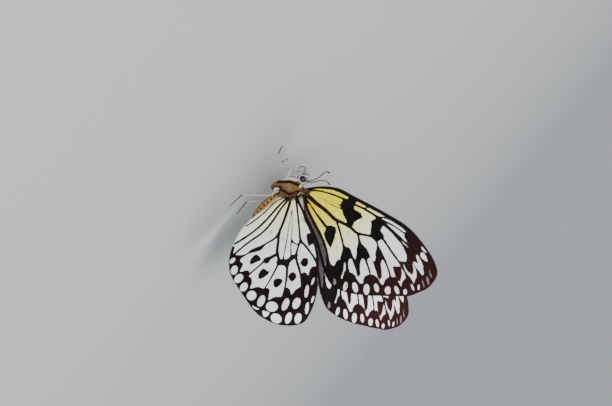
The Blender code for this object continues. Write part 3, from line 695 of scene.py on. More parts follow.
class Look:
    """A material and short ways to add nodes to it."""

    def __init__(self, name, **settings):
        self.material = bpy.data.materials.new(name)
        self.material.use_nodes = True
        self.tree = self.material.node_tree
        self.shader = self.tree.nodes["Principled BSDF"]
        for key, value in settings.items():
            self.shader.inputs[key.replace("_", " ")].default_value = value

    def put(self, socket, value):
        if isinstance(value, bpy.types.NodeSocket):
            self.tree.links.new(value, socket)
        elif isinstance(value, (tuple, list)) and len(value) == 3 and len(socket.default_value) == 4:
            socket.default_value = (*value, 1.0)
        else:
            socket.default_value = value

    def field(self, name, colour=False):
        node = self.tree.nodes.new("ShaderNodeAttribute")
        node.attribute_name = name
        return node.outputs["Color" if colour else "Fac"]

    def sum(self, kind, a, b):
        node = self.tree.nodes.new("ShaderNodeMath")
        node.operation = kind
        self.put(node.inputs[0], a)
        self.put(node.inputs[1], b)
        return node.outputs[0]

    def spread(self, value, low, high, start=0.0, end=1.0):
        node = self.tree.nodes.new("ShaderNodeMapRange")
        node.interpolation_type = "SMOOTHSTEP"
        for place, number in zip(range(5), (value, low, high, start, end)):
            self.put(node.inputs[place], number)
        return node.outputs[0]

    def mix(self, share, a, b, kind="MIX"):
        node = self.tree.nodes.new("ShaderNodeMix")
        node.data_type = "RGBA"
        node.blend_type = kind
        self.put(node.inputs["Factor"], share)
        self.put(node.inputs[6], a)
        self.put(node.inputs[7], b)
        return node.outputs[2]

    def noise(self, scale, detail=3.0, stretch=None):
        node = self.tree.nodes.new("ShaderNodeTexNoise")
        node.inputs["Scale"].default_value = scale
        node.inputs["Detail"].default_value = detail
        place = self.tree.nodes.new("ShaderNodeTexCoord").outputs["Object"]
        if stretch:
            turn = self.tree.nodes.new("ShaderNodeMapping")
            turn.inputs["Scale"].default_value = stretch
            self.tree.links.new(place, turn.inputs["Vector"])
            place = turn.outputs[0]
        self.tree.links.new(place, node.inputs["Vector"])
        return node.outputs["Fac"]

    def cells(self, scale, output="Distance"):
        node = self.tree.nodes.new("ShaderNodeTexVoronoi")
        node.inputs["Scale"].default_value = scale
        place = self.tree.nodes.new("ShaderNodeTexCoord").outputs["Object"]
        self.tree.links.new(place, node.inputs["Vector"])
        return node.outputs[output]

    def bump(self, height, distance, strength=1.0):
        node = self.tree.nodes.new("ShaderNodeBump")
        node.inputs["Strength"].default_value = strength
        node.inputs["Distance"].default_value = distance
        self.tree.links.new(height, node.inputs["Height"])
        self.tree.links.new(node.outputs[0], self.shader.inputs["Normal"])

    def colour(self, value):
        self.put(self.shader.inputs["Base Color"], value)


def wing_look(colours):
    """Scaled membrane: white ground with cream and yellow, black and maroon markings."""
    look = Look("Wing_scales", Roughness=0.7, Specular_IOR_Level=0.05)
    ragged = look.sum("MULTIPLY", look.sum("SUBTRACT", look.noise(3000.0, 2.0), 0.5), 0.3)
    broad = look.sum("MULTIPLY", look.sum("SUBTRACT", look.noise(420.0, 2.0), 0.5), 0.25)
    black_mm = look.sum("ADD", look.sum("ADD", look.field("black_mm"), ragged), broad)
    black = look.spread(black_mm, 0.09, -0.07)
    white = look.spread(look.sum("ADD", look.field("white_mm"), ragged), 0.06, -0.1)
    pale = look.spread(look.sum("ADD", look.field("pale_mm"), ragged), 0.25, -0.15, 0.0, 0.45)
    show_through = look.spread(look.sum("ADD", look.field("grey_mm"), ragged), 0.45, -0.5, 0.0, 0.55)
    ground = look.mix(look.field("cream"), tuple(colours.white), tuple(colours.cream))
    ground = look.mix(look.field("yellow"), ground, tuple(colours.yellow))
    ground = look.mix(look.field("deep"), ground, tuple(colours.deep_yellow))
    strip = look.mix(look.field("dusk"), tuple(colours.tan), tuple(colours.dusk))
    ground = look.mix(look.field("tan"), ground, strip)
    mottle = look.spread(look.noise(1500.0, 4.0), 0.3, 0.75, 0.0, 0.08)
    ground = look.mix(mottle, ground, (0.42, 0.42, 0.40))
    # Painted show-through: the grey ovals darken the ground where the far face's markings would be seen
    # through the membrane.
    ground = look.mix(show_through, ground, (0.16, 0.16, 0.17))
    dark = look.mix(look.field("maroon"), tuple(colours.black), tuple(colours.maroon))
    worn = look.spread(look.noise(900.0, 3.0), 0.45, 0.9, 0.0, 0.3)
    dark = look.mix(worn, dark, (0.03, 0.02, 0.02))
    dark = look.mix(pale, dark, (0.42, 0.38, 0.38))
    open_dark = look.sum("MULTIPLY", black, look.sum("SUBTRACT", 1.0, white))
    look.colour(look.mix(open_dark, ground, dark))
    look.bump(look.sum("ADD", look.cells(5200.0), look.noise(1200.0, 2.0)), 0.00003, 0.35)
    return look.material


def plain_look(name, colour, accent, scale, rough=0.5, relief=0.00002, **settings):
    """A mottled horny surface in two near tones."""
    look = Look(name, Roughness=rough, **settings)
    share = look.spread(look.noise(scale, 4.0), 0.35, 0.7)
    look.colour(look.mix(share, tuple(colour), tuple(accent)))
    look.bump(look.noise(scale * 2.2, 3.0), relief, 0.5)
    return look.material


def coat_look(name, rough=0.65, relief=0.00003):
    """Skin or hair that takes its colour from the marks of the body, darkened in noise patches by a painted
    shade.
    """
    look = Look(name, Roughness=rough, Specular_IOR_Level=0.1, Sheen_Weight=0.01, Sheen_Roughness=0.4)
    # Painted shade: noise patches darken the coat towards near-black, standing in for the shade deep among
    # the hairs.
    shade = look.spread(look.noise(2600.0, 3.0), 0.3, 0.7, 0.0, 0.4)
    look.colour(look.mix(shade, look.field("coat_colour", True), (0.02, 0.015, 0.01)))
    look.bump(look.noise(5200.0, 3.0), relief, 0.6)
    return look.material


def eye_look(colours):
    """Dark eye with its many small facets."""
    look = Look("Eye", Roughness=0.25, Specular_IOR_Level=0.15, Coat_Weight=0.1, Coat_Roughness=0.12)
    spots = look.spread(look.noise(900.0, 3.0), 0.4, 0.75)
    look.colour(look.mix(spots, tuple(colours.eye), tuple(colours.eye_spot)))
    look.bump(look.cells(15000.0), 0.00002, 0.6)
    return look.material


# Trunk

def trunk_profile(f):
    """Middle, half width and half height of the thorax, abdomen and head at each place."""
    table = smooth_path(THORAX, 0.05)
    order = np.argsort(table[:, 0])
    thorax = [np.interp(f, table[order, 0], table[order, k]) for k in (1, 2, 3)]
    thorax.append((f > THORAX[0][0]) & (f < THORAX[-1][0]))
    share = (f - ABDOMEN_START) / (ABDOMEN_END - ABDOMEN_START)
    middle = ABDOMEN_HEIGHT + ABDOMEN_RISE * (ABDOMEN_START - f)
    swell = 0.82 + 0.42 * np.sin(math.pi * np.clip(share * 0.95 + 0.08, 0, 1))
    taper = np.sqrt(np.clip(1.0 - np.clip((share - 0.72) / 0.28, 0, None) ** 2.2, 0.0, None))
    radius = ABDOMEN_RADIUS * swell * taper * 0.85
    inside = (f < ABDOMEN_START + 0.9) & (share < 1.0)
    abdomen = [middle, radius, radius * 1.06, inside]
    round_off = np.sqrt(np.clip(1 - ((f - HEAD_CENTRE[0]) / HEAD_RADII[0]) ** 2, 0, None))
    head = [HEAD_CENTRE[2] + 0 * f, HEAD_RADII[1] * round_off, HEAD_RADII[2] * round_off, round_off > 0]
    return thorax, abdomen, head


def reach_of(shape, centre, turn, depth):
    """How far an oval reaches from a centre line in each direction round it."""
    middle, wide, high, inside = (np.asarray(part)[:, None] for part in shape)
    wide = np.maximum(wide - depth, 0.02)
    high = np.maximum(high - depth, 0.02)
    c, s = np.cos(turn)[None, :], np.sin(turn)[None, :]
    lift = centre[:, None] - middle
    a = (c / wide) ** 2 + (s / high) ** 2
    b = lift * s / high**2
    k = (lift / high) ** 2 - 1
    root = b * b - a * k
    reach = (-b + np.sqrt(np.maximum(root, 0))) / a
    return np.where(inside & (root > 0) & (reach > 0), reach, 0.02)


def trunk_skin(depth, gap, columns):
    """Rings of the one skin over head, thorax and abdomen, in the body frame."""
    first, last = ABDOMEN_END + 0.12, HEAD_CENTRE[0] + HEAD_RADII[0] - depth - 0.01
    bend = np.linspace(0, math.pi / 2, 16)[:-1]
    rear = first + 0.9 * (1 - np.cos(bend))
    nose = last - 0.9 * (1 - np.cos(bend))
    f = np.concatenate([rear, np.arange(first + 0.9, last - 0.9, gap), nose[::-1]])
    centre = np.interp(f, *np.transpose(CENTRE_LINE))
    centre = np.convolve(np.pad(centre, 12, "edge"), np.ones(25) / 25, "valid")
    turn = np.arange(columns) * 2 * math.pi / columns
    parts = [reach_of(shape, centre, turn, depth) for shape in trunk_profile(f)]
    sharp = 7.0
    reach = np.log(sum(np.exp(sharp * part) for part in parts)) / sharp - math.log(3) / sharp * np.exp(
        -3 * np.maximum.reduce(parts))
    # Rings of the abdomen: each plate's rear edge overlaps the next
    place = (SEGMENT_START - f) / SEGMENT_LENGTH
    lip = place - np.floor(place)
    plates = np.where((f < -6.9) & (f > -16.9), 0.09 * (lip**2.2) - 0.05, 0.0)
    reach += plates[:, None] * smooth_step(-f, 6.9, 7.6)[:, None]
    # Seams of the thorax plates
    for seam, slope in ((-3.7, 0.35), (-1.2, 0.2), (0.9, 0.1)):
        away = f[:, None] - seam - slope * np.sin(turn)[None, :]
        reach -= 0.09 * np.exp(-((away / 0.14) ** 2)) * (np.abs(f) < 5.5)[:, None]
    reach = np.maximum(reach, 0.015)
    rings = np.empty((len(f), columns, 3))
    rings[:, :, 0] = f[:, None]
    rings[:, :, 1] = reach * np.cos(turn)
    rings[:, :, 2] = centre[:, None] + reach * np.sin(turn)
    return rings


def coat_colour(points, colours):
    """The body's markings at points given as forward, left and up."""
    f, l, u = points.reshape(-1, 3).T
    l = np.abs(l)
    p = np.stack([f, u], 1)
    tones = {key: np.array(getattr(colours, key)) for key in
             ("coat_white", "coat_tan", "coat_orange", "coat_black", "coat_brown", "coat_cream")}
    made = np.tile(tones["coat_tan"], (len(f), 1))

    def lay(share, tone):
        nonlocal made
        share = np.clip(share, 0, 1)[:, None]
        made = made * (1 - share) + tones[tone] * share

    # Thorax
    back = u > np.interp(f, (-6.5, -3.0, 0.7, 2.4), (-1.9, 0.4, 1.0, -0.6))
    lay(0.8 * (1 - smooth_step(np.hypot(f + 1.6, u + 2.4), 0.6, 2.0)), "coat_cream")
    lay(1 - smooth_step(stroke(p, ((-4.6, -6.0), (-2.6, -6.4), (-1.8, -5.9)), 0.9, 0.6), -0.2, 0.35),
        "coat_orange")
    lay(0.8 * (1 - smooth_step(stroke(p, ((-0.2, -1.2), (0.9, -0.2)), 0.7, 0.7), -0.2, 0.4)), "coat_orange")
    streaks = (np.abs(np.sin(6.3 * f + 0.6 * u)) ** 3 * smooth_step(u, -4.4, -3.0)
               * (1 - smooth_step(u, -1.6, -0.4)))
    lay(0.9 * streaks * (1 - smooth_step(np.abs(f + 1.7), 1.2, 2.2)), "coat_brown")
    lay(1 - smooth_step(oval(p, (-5.4, -3.9, 1.65, 1.5, 20)), -0.1, 0.1), "coat_black")
    lay(1 - smooth_step(oval(p, (-5.45, -3.95, 1.05, 0.9, 20)), -0.08, 0.1), "coat_white")
    lay(0.9 * (1 - smooth_step(oval(p, (-5.0, -3.5, 0.6, 0.25, 40)), -0.1, 0.1)), "coat_black")
    lay(1 - smooth_step(stroke(p, ((-3.9, -4.0), (-3.7, -2.4), (-3.0, -0.8), (-2.2, 0.1), (-0.2, 0.5),
                                   (1.2, 1.1)), 0.85, 0.8), -0.08, 0.12), "coat_black")
    lay(1 - smooth_step(stroke(p, ((-3.5, -5.8), (-2.3, -5.0), (-1.5, -4.2), (-0.2, -3.5), (0.6, -2.4),
                                   (1.3, -1.0)), 0.8, 1.0), -0.08, 0.12), "coat_black")
    lay(1 - smooth_step(stroke(p, ((-1.4, -5.9), (-0.2, -5.2), (0.8, -4.2), (1.5, -3.2),
                                   (2.2, -2.9)), 1.5, 1.1), -0.1, 0.12), "coat_white")
    lay(1 - smooth_step(stroke(p, ((1.5, -0.4), (2.6, -0.8)), 0.7, 0.6), -0.1, 0.12), "coat_white")
    lay(back.astype(float), "coat_black")
    for side_line, strength in ((0.75, 1.0), (1.9, 0.35)):
        line = np.abs(l - side_line) - 0.2
        lay(strength * (1 - smooth_step(line, -0.06, 0.08)) * back * (f > -5.6), "coat_white")
    lay((1 - smooth_step(f, -7.0, -6.2)), "coat_tan")
    # Abdomen
    hind = 1 - smooth_step(f, -6.7, -6.3)
    middle = ABDOMEN_HEIGHT + ABDOMEN_RISE * (ABDOMEN_START - f)
    turn = np.degrees(np.arctan2(u - middle, l))
    place = (SEGMENT_START - f) / SEGMENT_LENGTH
    lip = place - np.floor(place) - 0.5
    lay(hind, "coat_tan")
    lay(hind * smooth_step(-turn, 5, 40) * (1 - smooth_step(-turn, 70, 80)), "coat_orange")
    lay(hind * smooth_step(-turn, 74, 84), "coat_cream")
    dots = np.hypot(lip * SEGMENT_LENGTH, (turn + 6) / 45.0)
    lay(hind * (1 - smooth_step(dots, 0.30, 0.42)), "coat_black")
    browns = np.hypot(lip * SEGMENT_LENGTH * 0.75, (turn + 52) / 30.0)
    lay(hind * (1 - smooth_step(browns, 0.40, 0.62)), "coat_brown")
    lay(hind * smooth_step(turn, 22, 34), "coat_cream")
    lay(hind * smooth_step(turn, 50, 62), "coat_black")
    # Head
    front = smooth_step(f, 2.0, 2.35)
    lay(front, "coat_black")
    ring = np.abs(oval(p, (EYE_CENTRE[0], EYE_CENTRE[2], 1.25, 1.4, 0))) - 0.22
    lay(front * (1 - smooth_step(ring, -0.05, 0.1)) * (l > 0.75), "coat_white")
    crown = np.abs(l - 0.42) - 0.14
    lay(front * (1 - smooth_step(crown, -0.04, 0.08)) * ((u > -1.6) | (f > 4.5)), "coat_white")
    return made


def tufts_on(shape, rings, uv_rows, number, length, width, lift, seed, colours, keep, forward=-1.0):
    """Tufts scattered evenly over rings of points, lying backwards unless told otherwise."""
    random = np.random.default_rng(seed)
    rows, columns = rings.shape[:2]
    normal = ring_normals(rings)
    step = np.linalg.norm(np.gradient(rings, axis=0), axis=2)
    width_of = np.linalg.norm(np.roll(rings, -1, axis=1) - rings, axis=2)
    area = (step * width_of).ravel()
    picks = random.choice(rows * columns, int(number * 1.6), p=area / area.sum())
    jitter = random.random((len(picks), 4))
    i, j = picks // columns, picks % columns
    k = np.minimum(i + 1, rows - 1)
    n = (j + 1) % columns
    a, b = jitter[:, 0][:, None], jitter[:, 1][:, None]
    near_edge = rings[i, j] * (1 - a) + rings[k, j] * a
    far_edge = rings[i, n] * (1 - a) + rings[k, n] * a
    roots = near_edge * (1 - b) + far_edge * b
    face = normal[i, j]
    chosen = np.flatnonzero(keep(roots))[:number]
    roots, face, i, j, jitter = roots[chosen], face[chosen], i[chosen], j[chosen], jitter[chosen]
    lie = np.tile([forward, 0.0, 0.0], (len(roots), 1)) + 0.35 * (random.random((len(roots), 3)) - 0.5)
    lie -= face * (lie * face).sum(1)[:, None]
    lie /= np.linalg.norm(lie, axis=1)[:, None] + 1e-9
    rise = lift * (0.6 + 0.8 * jitter[:, 2])
    leans = lie + face * rise[:, None]
    sizes = length * (0.6 + 0.7 * jitter[:, 3])
    widths = np.full(len(roots), width) * (0.7 + 0.6 * jitter[:, 2])
    points, faces = spikes(roots - face * 0.03, face, leans, sizes, widths, 0.22 + 0.0 * sizes)
    tones = coat_colour(roots, colours) * (0.8 + 0.4 * random.random(len(roots)))[:, None]
    places = np.stack([j / columns, uv_rows[i]], 1)
    uv = (places[:, None, :] + TUFT_UV[None, :, :]).reshape(-1, 2)
    shape.add(to_world(points), faces, np.clip(uv, 0, 1), coat_colour=np.repeat(tones, 7, axis=0))


# Settings

def colour_property(name, description, default):
    return FloatVectorProperty(name=name, description=description, default=default, subtype="COLOR", size=3,
                               min=0.0, max=1.0)


def length_property(name, description, default):
    return FloatProperty(name=name, description=description, default=default, subtype="DISTANCE",
                         unit="LENGTH", min=0.0, precision=5)


class KiteWingSettings(bpy.types.PropertyGroup):
    """Sizes of the wings"""

    membrane: length_property("Membrane", "Thickness of the membrane between the veins", 0.00018)
    relief: length_property("Vein relief", "How far a vein stands above the membrane", 0.00008)
    flute: length_property("Fluting", "How far the membrane sinks between its veins", 0.00014)
    grid: length_property("Grid", "Distance between the points of the membrane", 0.00026)
    fringe: length_property("Fringe", "Length of the fringe along the margin", 0.00034)


class KiteBodySettings(bpy.types.PropertyGroup):
    """Sizes of the skin and its coat"""

    coat_depth: length_property("Coat depth", "How far the skin lies inside the solids", 0.00016)
    hair: length_property("Hair", "Length of the longest hair on the thorax", 0.00075)
    hair_width: length_property("Hair width", "Half width of a tuft at its root", 0.00004)
    thorax_tufts: IntProperty(name="Thorax tufts", description="Number of tufts", default=7500, min=0)
    head_tufts: IntProperty(name="Head tufts", description="Number of tufts", default=4200, min=0)
    abdomen_tufts: IntProperty(name="Abdomen tufts", description="Number of tufts", default=7500, min=0)


class KiteColourSettings(bpy.types.PropertyGroup):
    """Colours of the wings and body"""

    white: colour_property("White", "Ground of the wings", (0.80, 0.83, 0.82))
    cream: colour_property("Cream", "Ground near the middle of the forewing", (0.86, 0.84, 0.36))
    yellow: colour_property("Yellow", "Base of the forewing", (0.82, 0.71, 0.0))
    deep_yellow: colour_property("Deep yellow", "Innermost base of the forewing", (0.80, 0.42, 0.0))
    black: colour_property("Black", "Markings", (0.004, 0.003, 0.003))
    maroon: colour_property("Maroon", "Markings towards the tip of the forewing", (0.026, 0.006, 0.006))
    tan: colour_property("Tan", "Strip along the forewing's rear edge", (0.12, 0.068, 0.028))
    dusk: colour_property("Dusk", "Outer part of that strip", (0.055, 0.042, 0.055))
    vein: colour_property("Vein", "Ridges of the veins", (0.007, 0.005, 0.005))
    eye: colour_property("Eye", "Ground of the eye", (0.006, 0.006, 0.012))
    eye_spot: colour_property("Eye spots", "Clouds in the eye", (0.022, 0.019, 0.032))
    coat_white: colour_property("White coat", "Bands on the body", (0.80, 0.76, 0.62))
    coat_tan: colour_property("Tan coat", "Side of the thorax", (0.21, 0.125, 0.042))
    coat_orange: colour_property("Orange coat", "Side of the abdomen", (0.44, 0.15, 0.02))
    coat_black: colour_property("Black coat", "Stripes and dots", (0.004, 0.003, 0.003))
    coat_brown: colour_property("Brown coat", "Patches on the abdomen", (0.10, 0.032, 0.009))
    coat_cream: colour_property("Cream coat", "Pale parts of the body", (0.36, 0.28, 0.14))
    feeler: colour_property("Feeler", "Feelers and coiled tongue", (0.010, 0.009, 0.009))
    leg: colour_property("Leg", "Upper legs", (0.55, 0.50, 0.40))
    foot: colour_property("Foot", "Feet", (0.06, 0.04, 0.03))


class KiteStageSettings(bpy.types.PropertyGroup):
    """Floor, light and camera"""

    floor: colour_property("Floor", "Floor and backdrop", (0.46, 0.47, 0.48))
    sensor: FloatProperty(name="Sensor", description="Sensor width of the camera in millimetres",
                          default=36.0)
    key: FloatProperty(name="Key light", description="Power of the key light", default=36.0, unit="POWER")
    fill: FloatProperty(name="Fill light", description="Power of the fill light", default=11.0, unit="POWER")
    top: FloatProperty(name="Top light", description="Power of the top light", default=18.0, unit="POWER")
    sky: FloatProperty(name="Sky", description="Strength of the light from all round", default=0.7)


# Operators

class KITE_OT_wings(bpy.types.Operator):
    """Make the four fluted membranes with their markings and fringe"""

    bl_idname = "kite.wings"
    bl_label = "Wings"

    def execute(self, context):
        sizes = context.scene.kite_wing
        look = wing_look(context.scene.kite_colour)
        for kind in OUTLINES:
            p, shape = wing_grid(kind, sizes.grid / MM)
            marks, near_vein = wing_marks(kind, p)
            sink = fluting(p, near_vein, sizes.flute / MM)
            for side, word in SIDES:
                made = Shape()
                add_membrane(made, kind, side, p, shape, marks, sink, sizes.membrane / MM)
                add_fringe(made, kind, side, p, shape, marks, sink, sizes.fringe / MM)
                made.make(f"{kind}_membrane_{word}", look, "wing", f"{kind}_{word}")
        return {"FINISHED"}


def wing_grid(kind, gap):
    """Points of the wing's plane in rows from the root to the tip."""
    front, tip, rear = OUTLINES[kind]
    path = outline_path(kind, 0.05)
    places = np.concatenate([[0], np.cumsum(np.linalg.norm(np.diff(path, axis=0), axis=1))])
    tip_at = places[np.argmin(np.linalg.norm(path - tip, axis=1))]
    rows = int(tip_at / gap)
    share = np.sin(0.5 * math.pi * np.linspace(0, 0.985, rows)) ** 0.9
    columns = int(30.0 / gap)
    near_at, far_at = tip_at * share, places[-1] + (tip_at - places[-1]) * share
    near = np.stack([np.interp(near_at, places, path[:, k]) for k in (0, 1)], 1)
    far = np.stack([np.interp(far_at, places, path[:, k]) for k in (0, 1)], 1)
    across = np.linspace(0, 1, columns)[None, :, None]
    grid = near[:, None, :] * (1 - across) + far[:, None, :] * across
    tuck = grid[:1] - np.array([ROOT_TUCK, 0.0]) * np.linspace(1, 0.2, 5)[:, None, None]
    grid = np.concatenate([tuck, grid])
    return grid.reshape(-1, 2), grid.shape[:2]


def wing_map(p, low):
    """Each face of a wing has its own half of the map."""
    return np.stack([(p[:, 0] + 4.5) / 74.0, (p[:, 1] + 14.0) / 74.0 + (0.5 if low else 0.0)], 1)


def add_membrane(made, kind, side, p, shape, marks, sink, thickness):
    rows, columns = shape
    index = np.arange(rows * columns).reshape(rows, columns)
    quads = np.stack([index[:-1, :-1], index[1:, :-1], index[1:, 1:], index[:-1, 1:]], -1).reshape(-1, 4)
    edge = np.concatenate([index[:, 0], index[-1, 1:], index[-2::-1, -1], index[0, -2:0:-1]])
    thin = 0.5 * thickness * np.ones(len(p))
    thin[edge] *= 0.5
    total = rows * columns
    for low, sign in ((False, 1), (True, -1)):
        points = to_world(wing_surface(kind, side, p, sink + sign * thin))
        faces = quads if (side * sign) > 0 else quads[:, ::-1]
        made.add(points, faces, wing_map(p, low), **marks)
    following = np.roll(edge, -1)
    walls = np.stack([edge, following, following + total, edge + total], 1) if side < 0 else np.stack(
        [edge + total, following + total, following, edge], 1)
    spot = wing_map(p[edge], False)
    made.faces.append(walls + made.count - 2 * total)
    made.maps.append(np.repeat(spot[:, None, :], 4, axis=1))


def add_fringe(made, kind, side, p, shape, marks, sink, length):
    """Short pointed scales along the free edges."""
    rows, columns = shape
    index = np.arange(rows * columns).reshape(rows, columns)
    first = rows // 3
    edge = np.concatenate([index[first:, 0], index[-1, 1:-1:2], index[::-1, -1][:-12]])
    inner = np.concatenate([index[first:, 2], index[-4, 1:-1:2], index[::-1, -3][:-12]])
    random = np.random.default_rng(5 if kind == "forewing" else 6)
    keep = random.random(len(edge)) < 0.9
    edge, inner = edge[keep], inner[keep]
    roots = wing_surface(kind, side, p[edge], sink[edge])
    behind = wing_surface(kind, side, p[inner], sink[inner])
    leans = roots - behind
    leans /= np.linalg.norm(leans, axis=1)[:, None] + 1e-9
    leans += 0.25 * (random.random((len(roots), 3)) - 0.5)
    normal = np.tile(wing_axes(kind, side)[3], (len(roots), 1))
    sizes = length * (0.6 + 0.6 * random.random(len(roots)))
    points, faces = spikes(roots - leans * 0.05, normal, leans, sizes, 0.07 + 0 * sizes, 0.0 * sizes)
    uv = (wing_map(p[edge], False)[:, None, :] + TUFT_UV[None] * 0.5).reshape(-1, 2)
    made.add(to_world(points), faces, uv, **{key: np.repeat(value[edge], 7) for key, value in marks.items()})


class KITE_OT_veins(bpy.types.Operator):
    """Make the raised veins of the four wings"""

    bl_idname = "kite.veins"
    bl_label = "Veins"

    def execute(self, context):
        sizes = context.scene.kite_wing
        colours = context.scene.kite_colour
        look = plain_look("Vein", colours.vein, (0.014, 0.009, 0.008), 1500.0, 0.6, Specular_IOR_Level=0.06)
        turn = np.arange(8) * math.pi / 4
        for kind in OUTLINES:
            for side, word in SIDES:
                made = Shape()
                above = wing_axes(kind, side)[3]
                for number, (first, last, line) in enumerate(VEINS[kind].values()):
                    p = smooth_path(line, 0.4)
                    near = np.zeros(len(p))
                    sink = fluting(p, near, sizes.flute / MM)
                    middle = wing_surface(kind, side, p, sink)
                    ahead = np.gradient(middle, axis=0)
                    across = np.cross(above, ahead)
                    across /= np.linalg.norm(across, axis=1)[:, None]
                    share = np.linspace(0, 1, len(p))
                    ends = rounded_ends(share, 0.02)
                    half = 0.28 * VEIN_SWELL[kind] * (first + (last - first) * share) * ends
                    relief = sizes.relief / MM * np.clip(half / 0.2, 0.5, 2.0)
                    high = (0.5 * sizes.membrane / MM + relief) * ends
                    sideways = (half[:, None] * np.cos(turn))[:, :, None]
                    upward = (high[:, None] * np.sin(turn))[:, :, None]
                    rings = middle[:, None, :] + across[:, None, :] * sideways + above * upward
                    if side > 0:
                        rings = rings[:, ::-1]
                    add_tube(made, to_world(rings).reshape(rings.shape), (number, len(VEINS[kind])))
                made.make(f"{kind}_veins_{word}", look, "wing")
        return {"FINISHED"}


class KITE_OT_skin(bpy.types.Operator):
    """Make the one skin over head, thorax and abdomen"""

    bl_idname = "kite.skin"
    bl_label = "Skin"

    def execute(self, context):
        depth = context.scene.kite_body.coat_depth / MM
        rings = trunk_skin(depth, 0.07, 128)
        tones = coat_colour(rings, context.scene.kite_colour).reshape(rings.shape)
        made = Shape()
        add_tube(made, to_world(rings).reshape(rings.shape)[:, ::-1], coat_colour=tones[:, ::-1])
        made.make("trunk_skin", coat_look("Skin"), "body_scales", "head", "thorax", "abdomen_front",
                  "abdomen_middle", "abdomen_rear")
        return {"FINISHED"}


def outside_eye(points):
    centre = np.array(EYE_CENTRE)
    p = np.stack([points[:, 0], np.abs(points[:, 1]), points[:, 2]], 1)
    return (((p - centre) / (np.array(EYE_RADII) + 0.08)) ** 2).sum(1) > 1.0


class KITE_OT_coat(bpy.types.Operator):
    """Make the tufts of hair over the skin"""

    bl_idname = "kite.coat"
    bl_label = "Coat"

    def execute(self, context):
        body = context.scene.kite_body
        colours = context.scene.kite_colour
        rings = trunk_skin(body.coat_depth / MM, 0.07, 128)
        rows = np.arange(len(rings)) / len(rings)
        look = coat_look("Hair", 0.55)
        hair, width = body.hair / MM, body.hair_width / MM
        zones = (
            ("abdomen_coat", -18.0, -6.4, body.abdomen_tufts, hair * 0.42, 0.12, 3, -1.0),
            ("thorax_coat", -6.4, 2.1, body.thorax_tufts, hair, 0.32, 1, -1.0),
            ("head_coat", 2.1, 6.0, body.head_tufts, hair * 0.62, 0.5, 2, 0.6),
        )
        for name, low, high, number, length, lift, seed, forward in zones:
            chosen = (rings[:, 0, 0] >= low) & (rings[:, 0, 0] < high)
            made = Shape()
            tufts_on(made, rings[chosen], rows[chosen], number, length, width, lift, seed, colours,
                     outside_eye, forward)
            made.make(name, look, "body_scales")
        return {"FINISHED"}


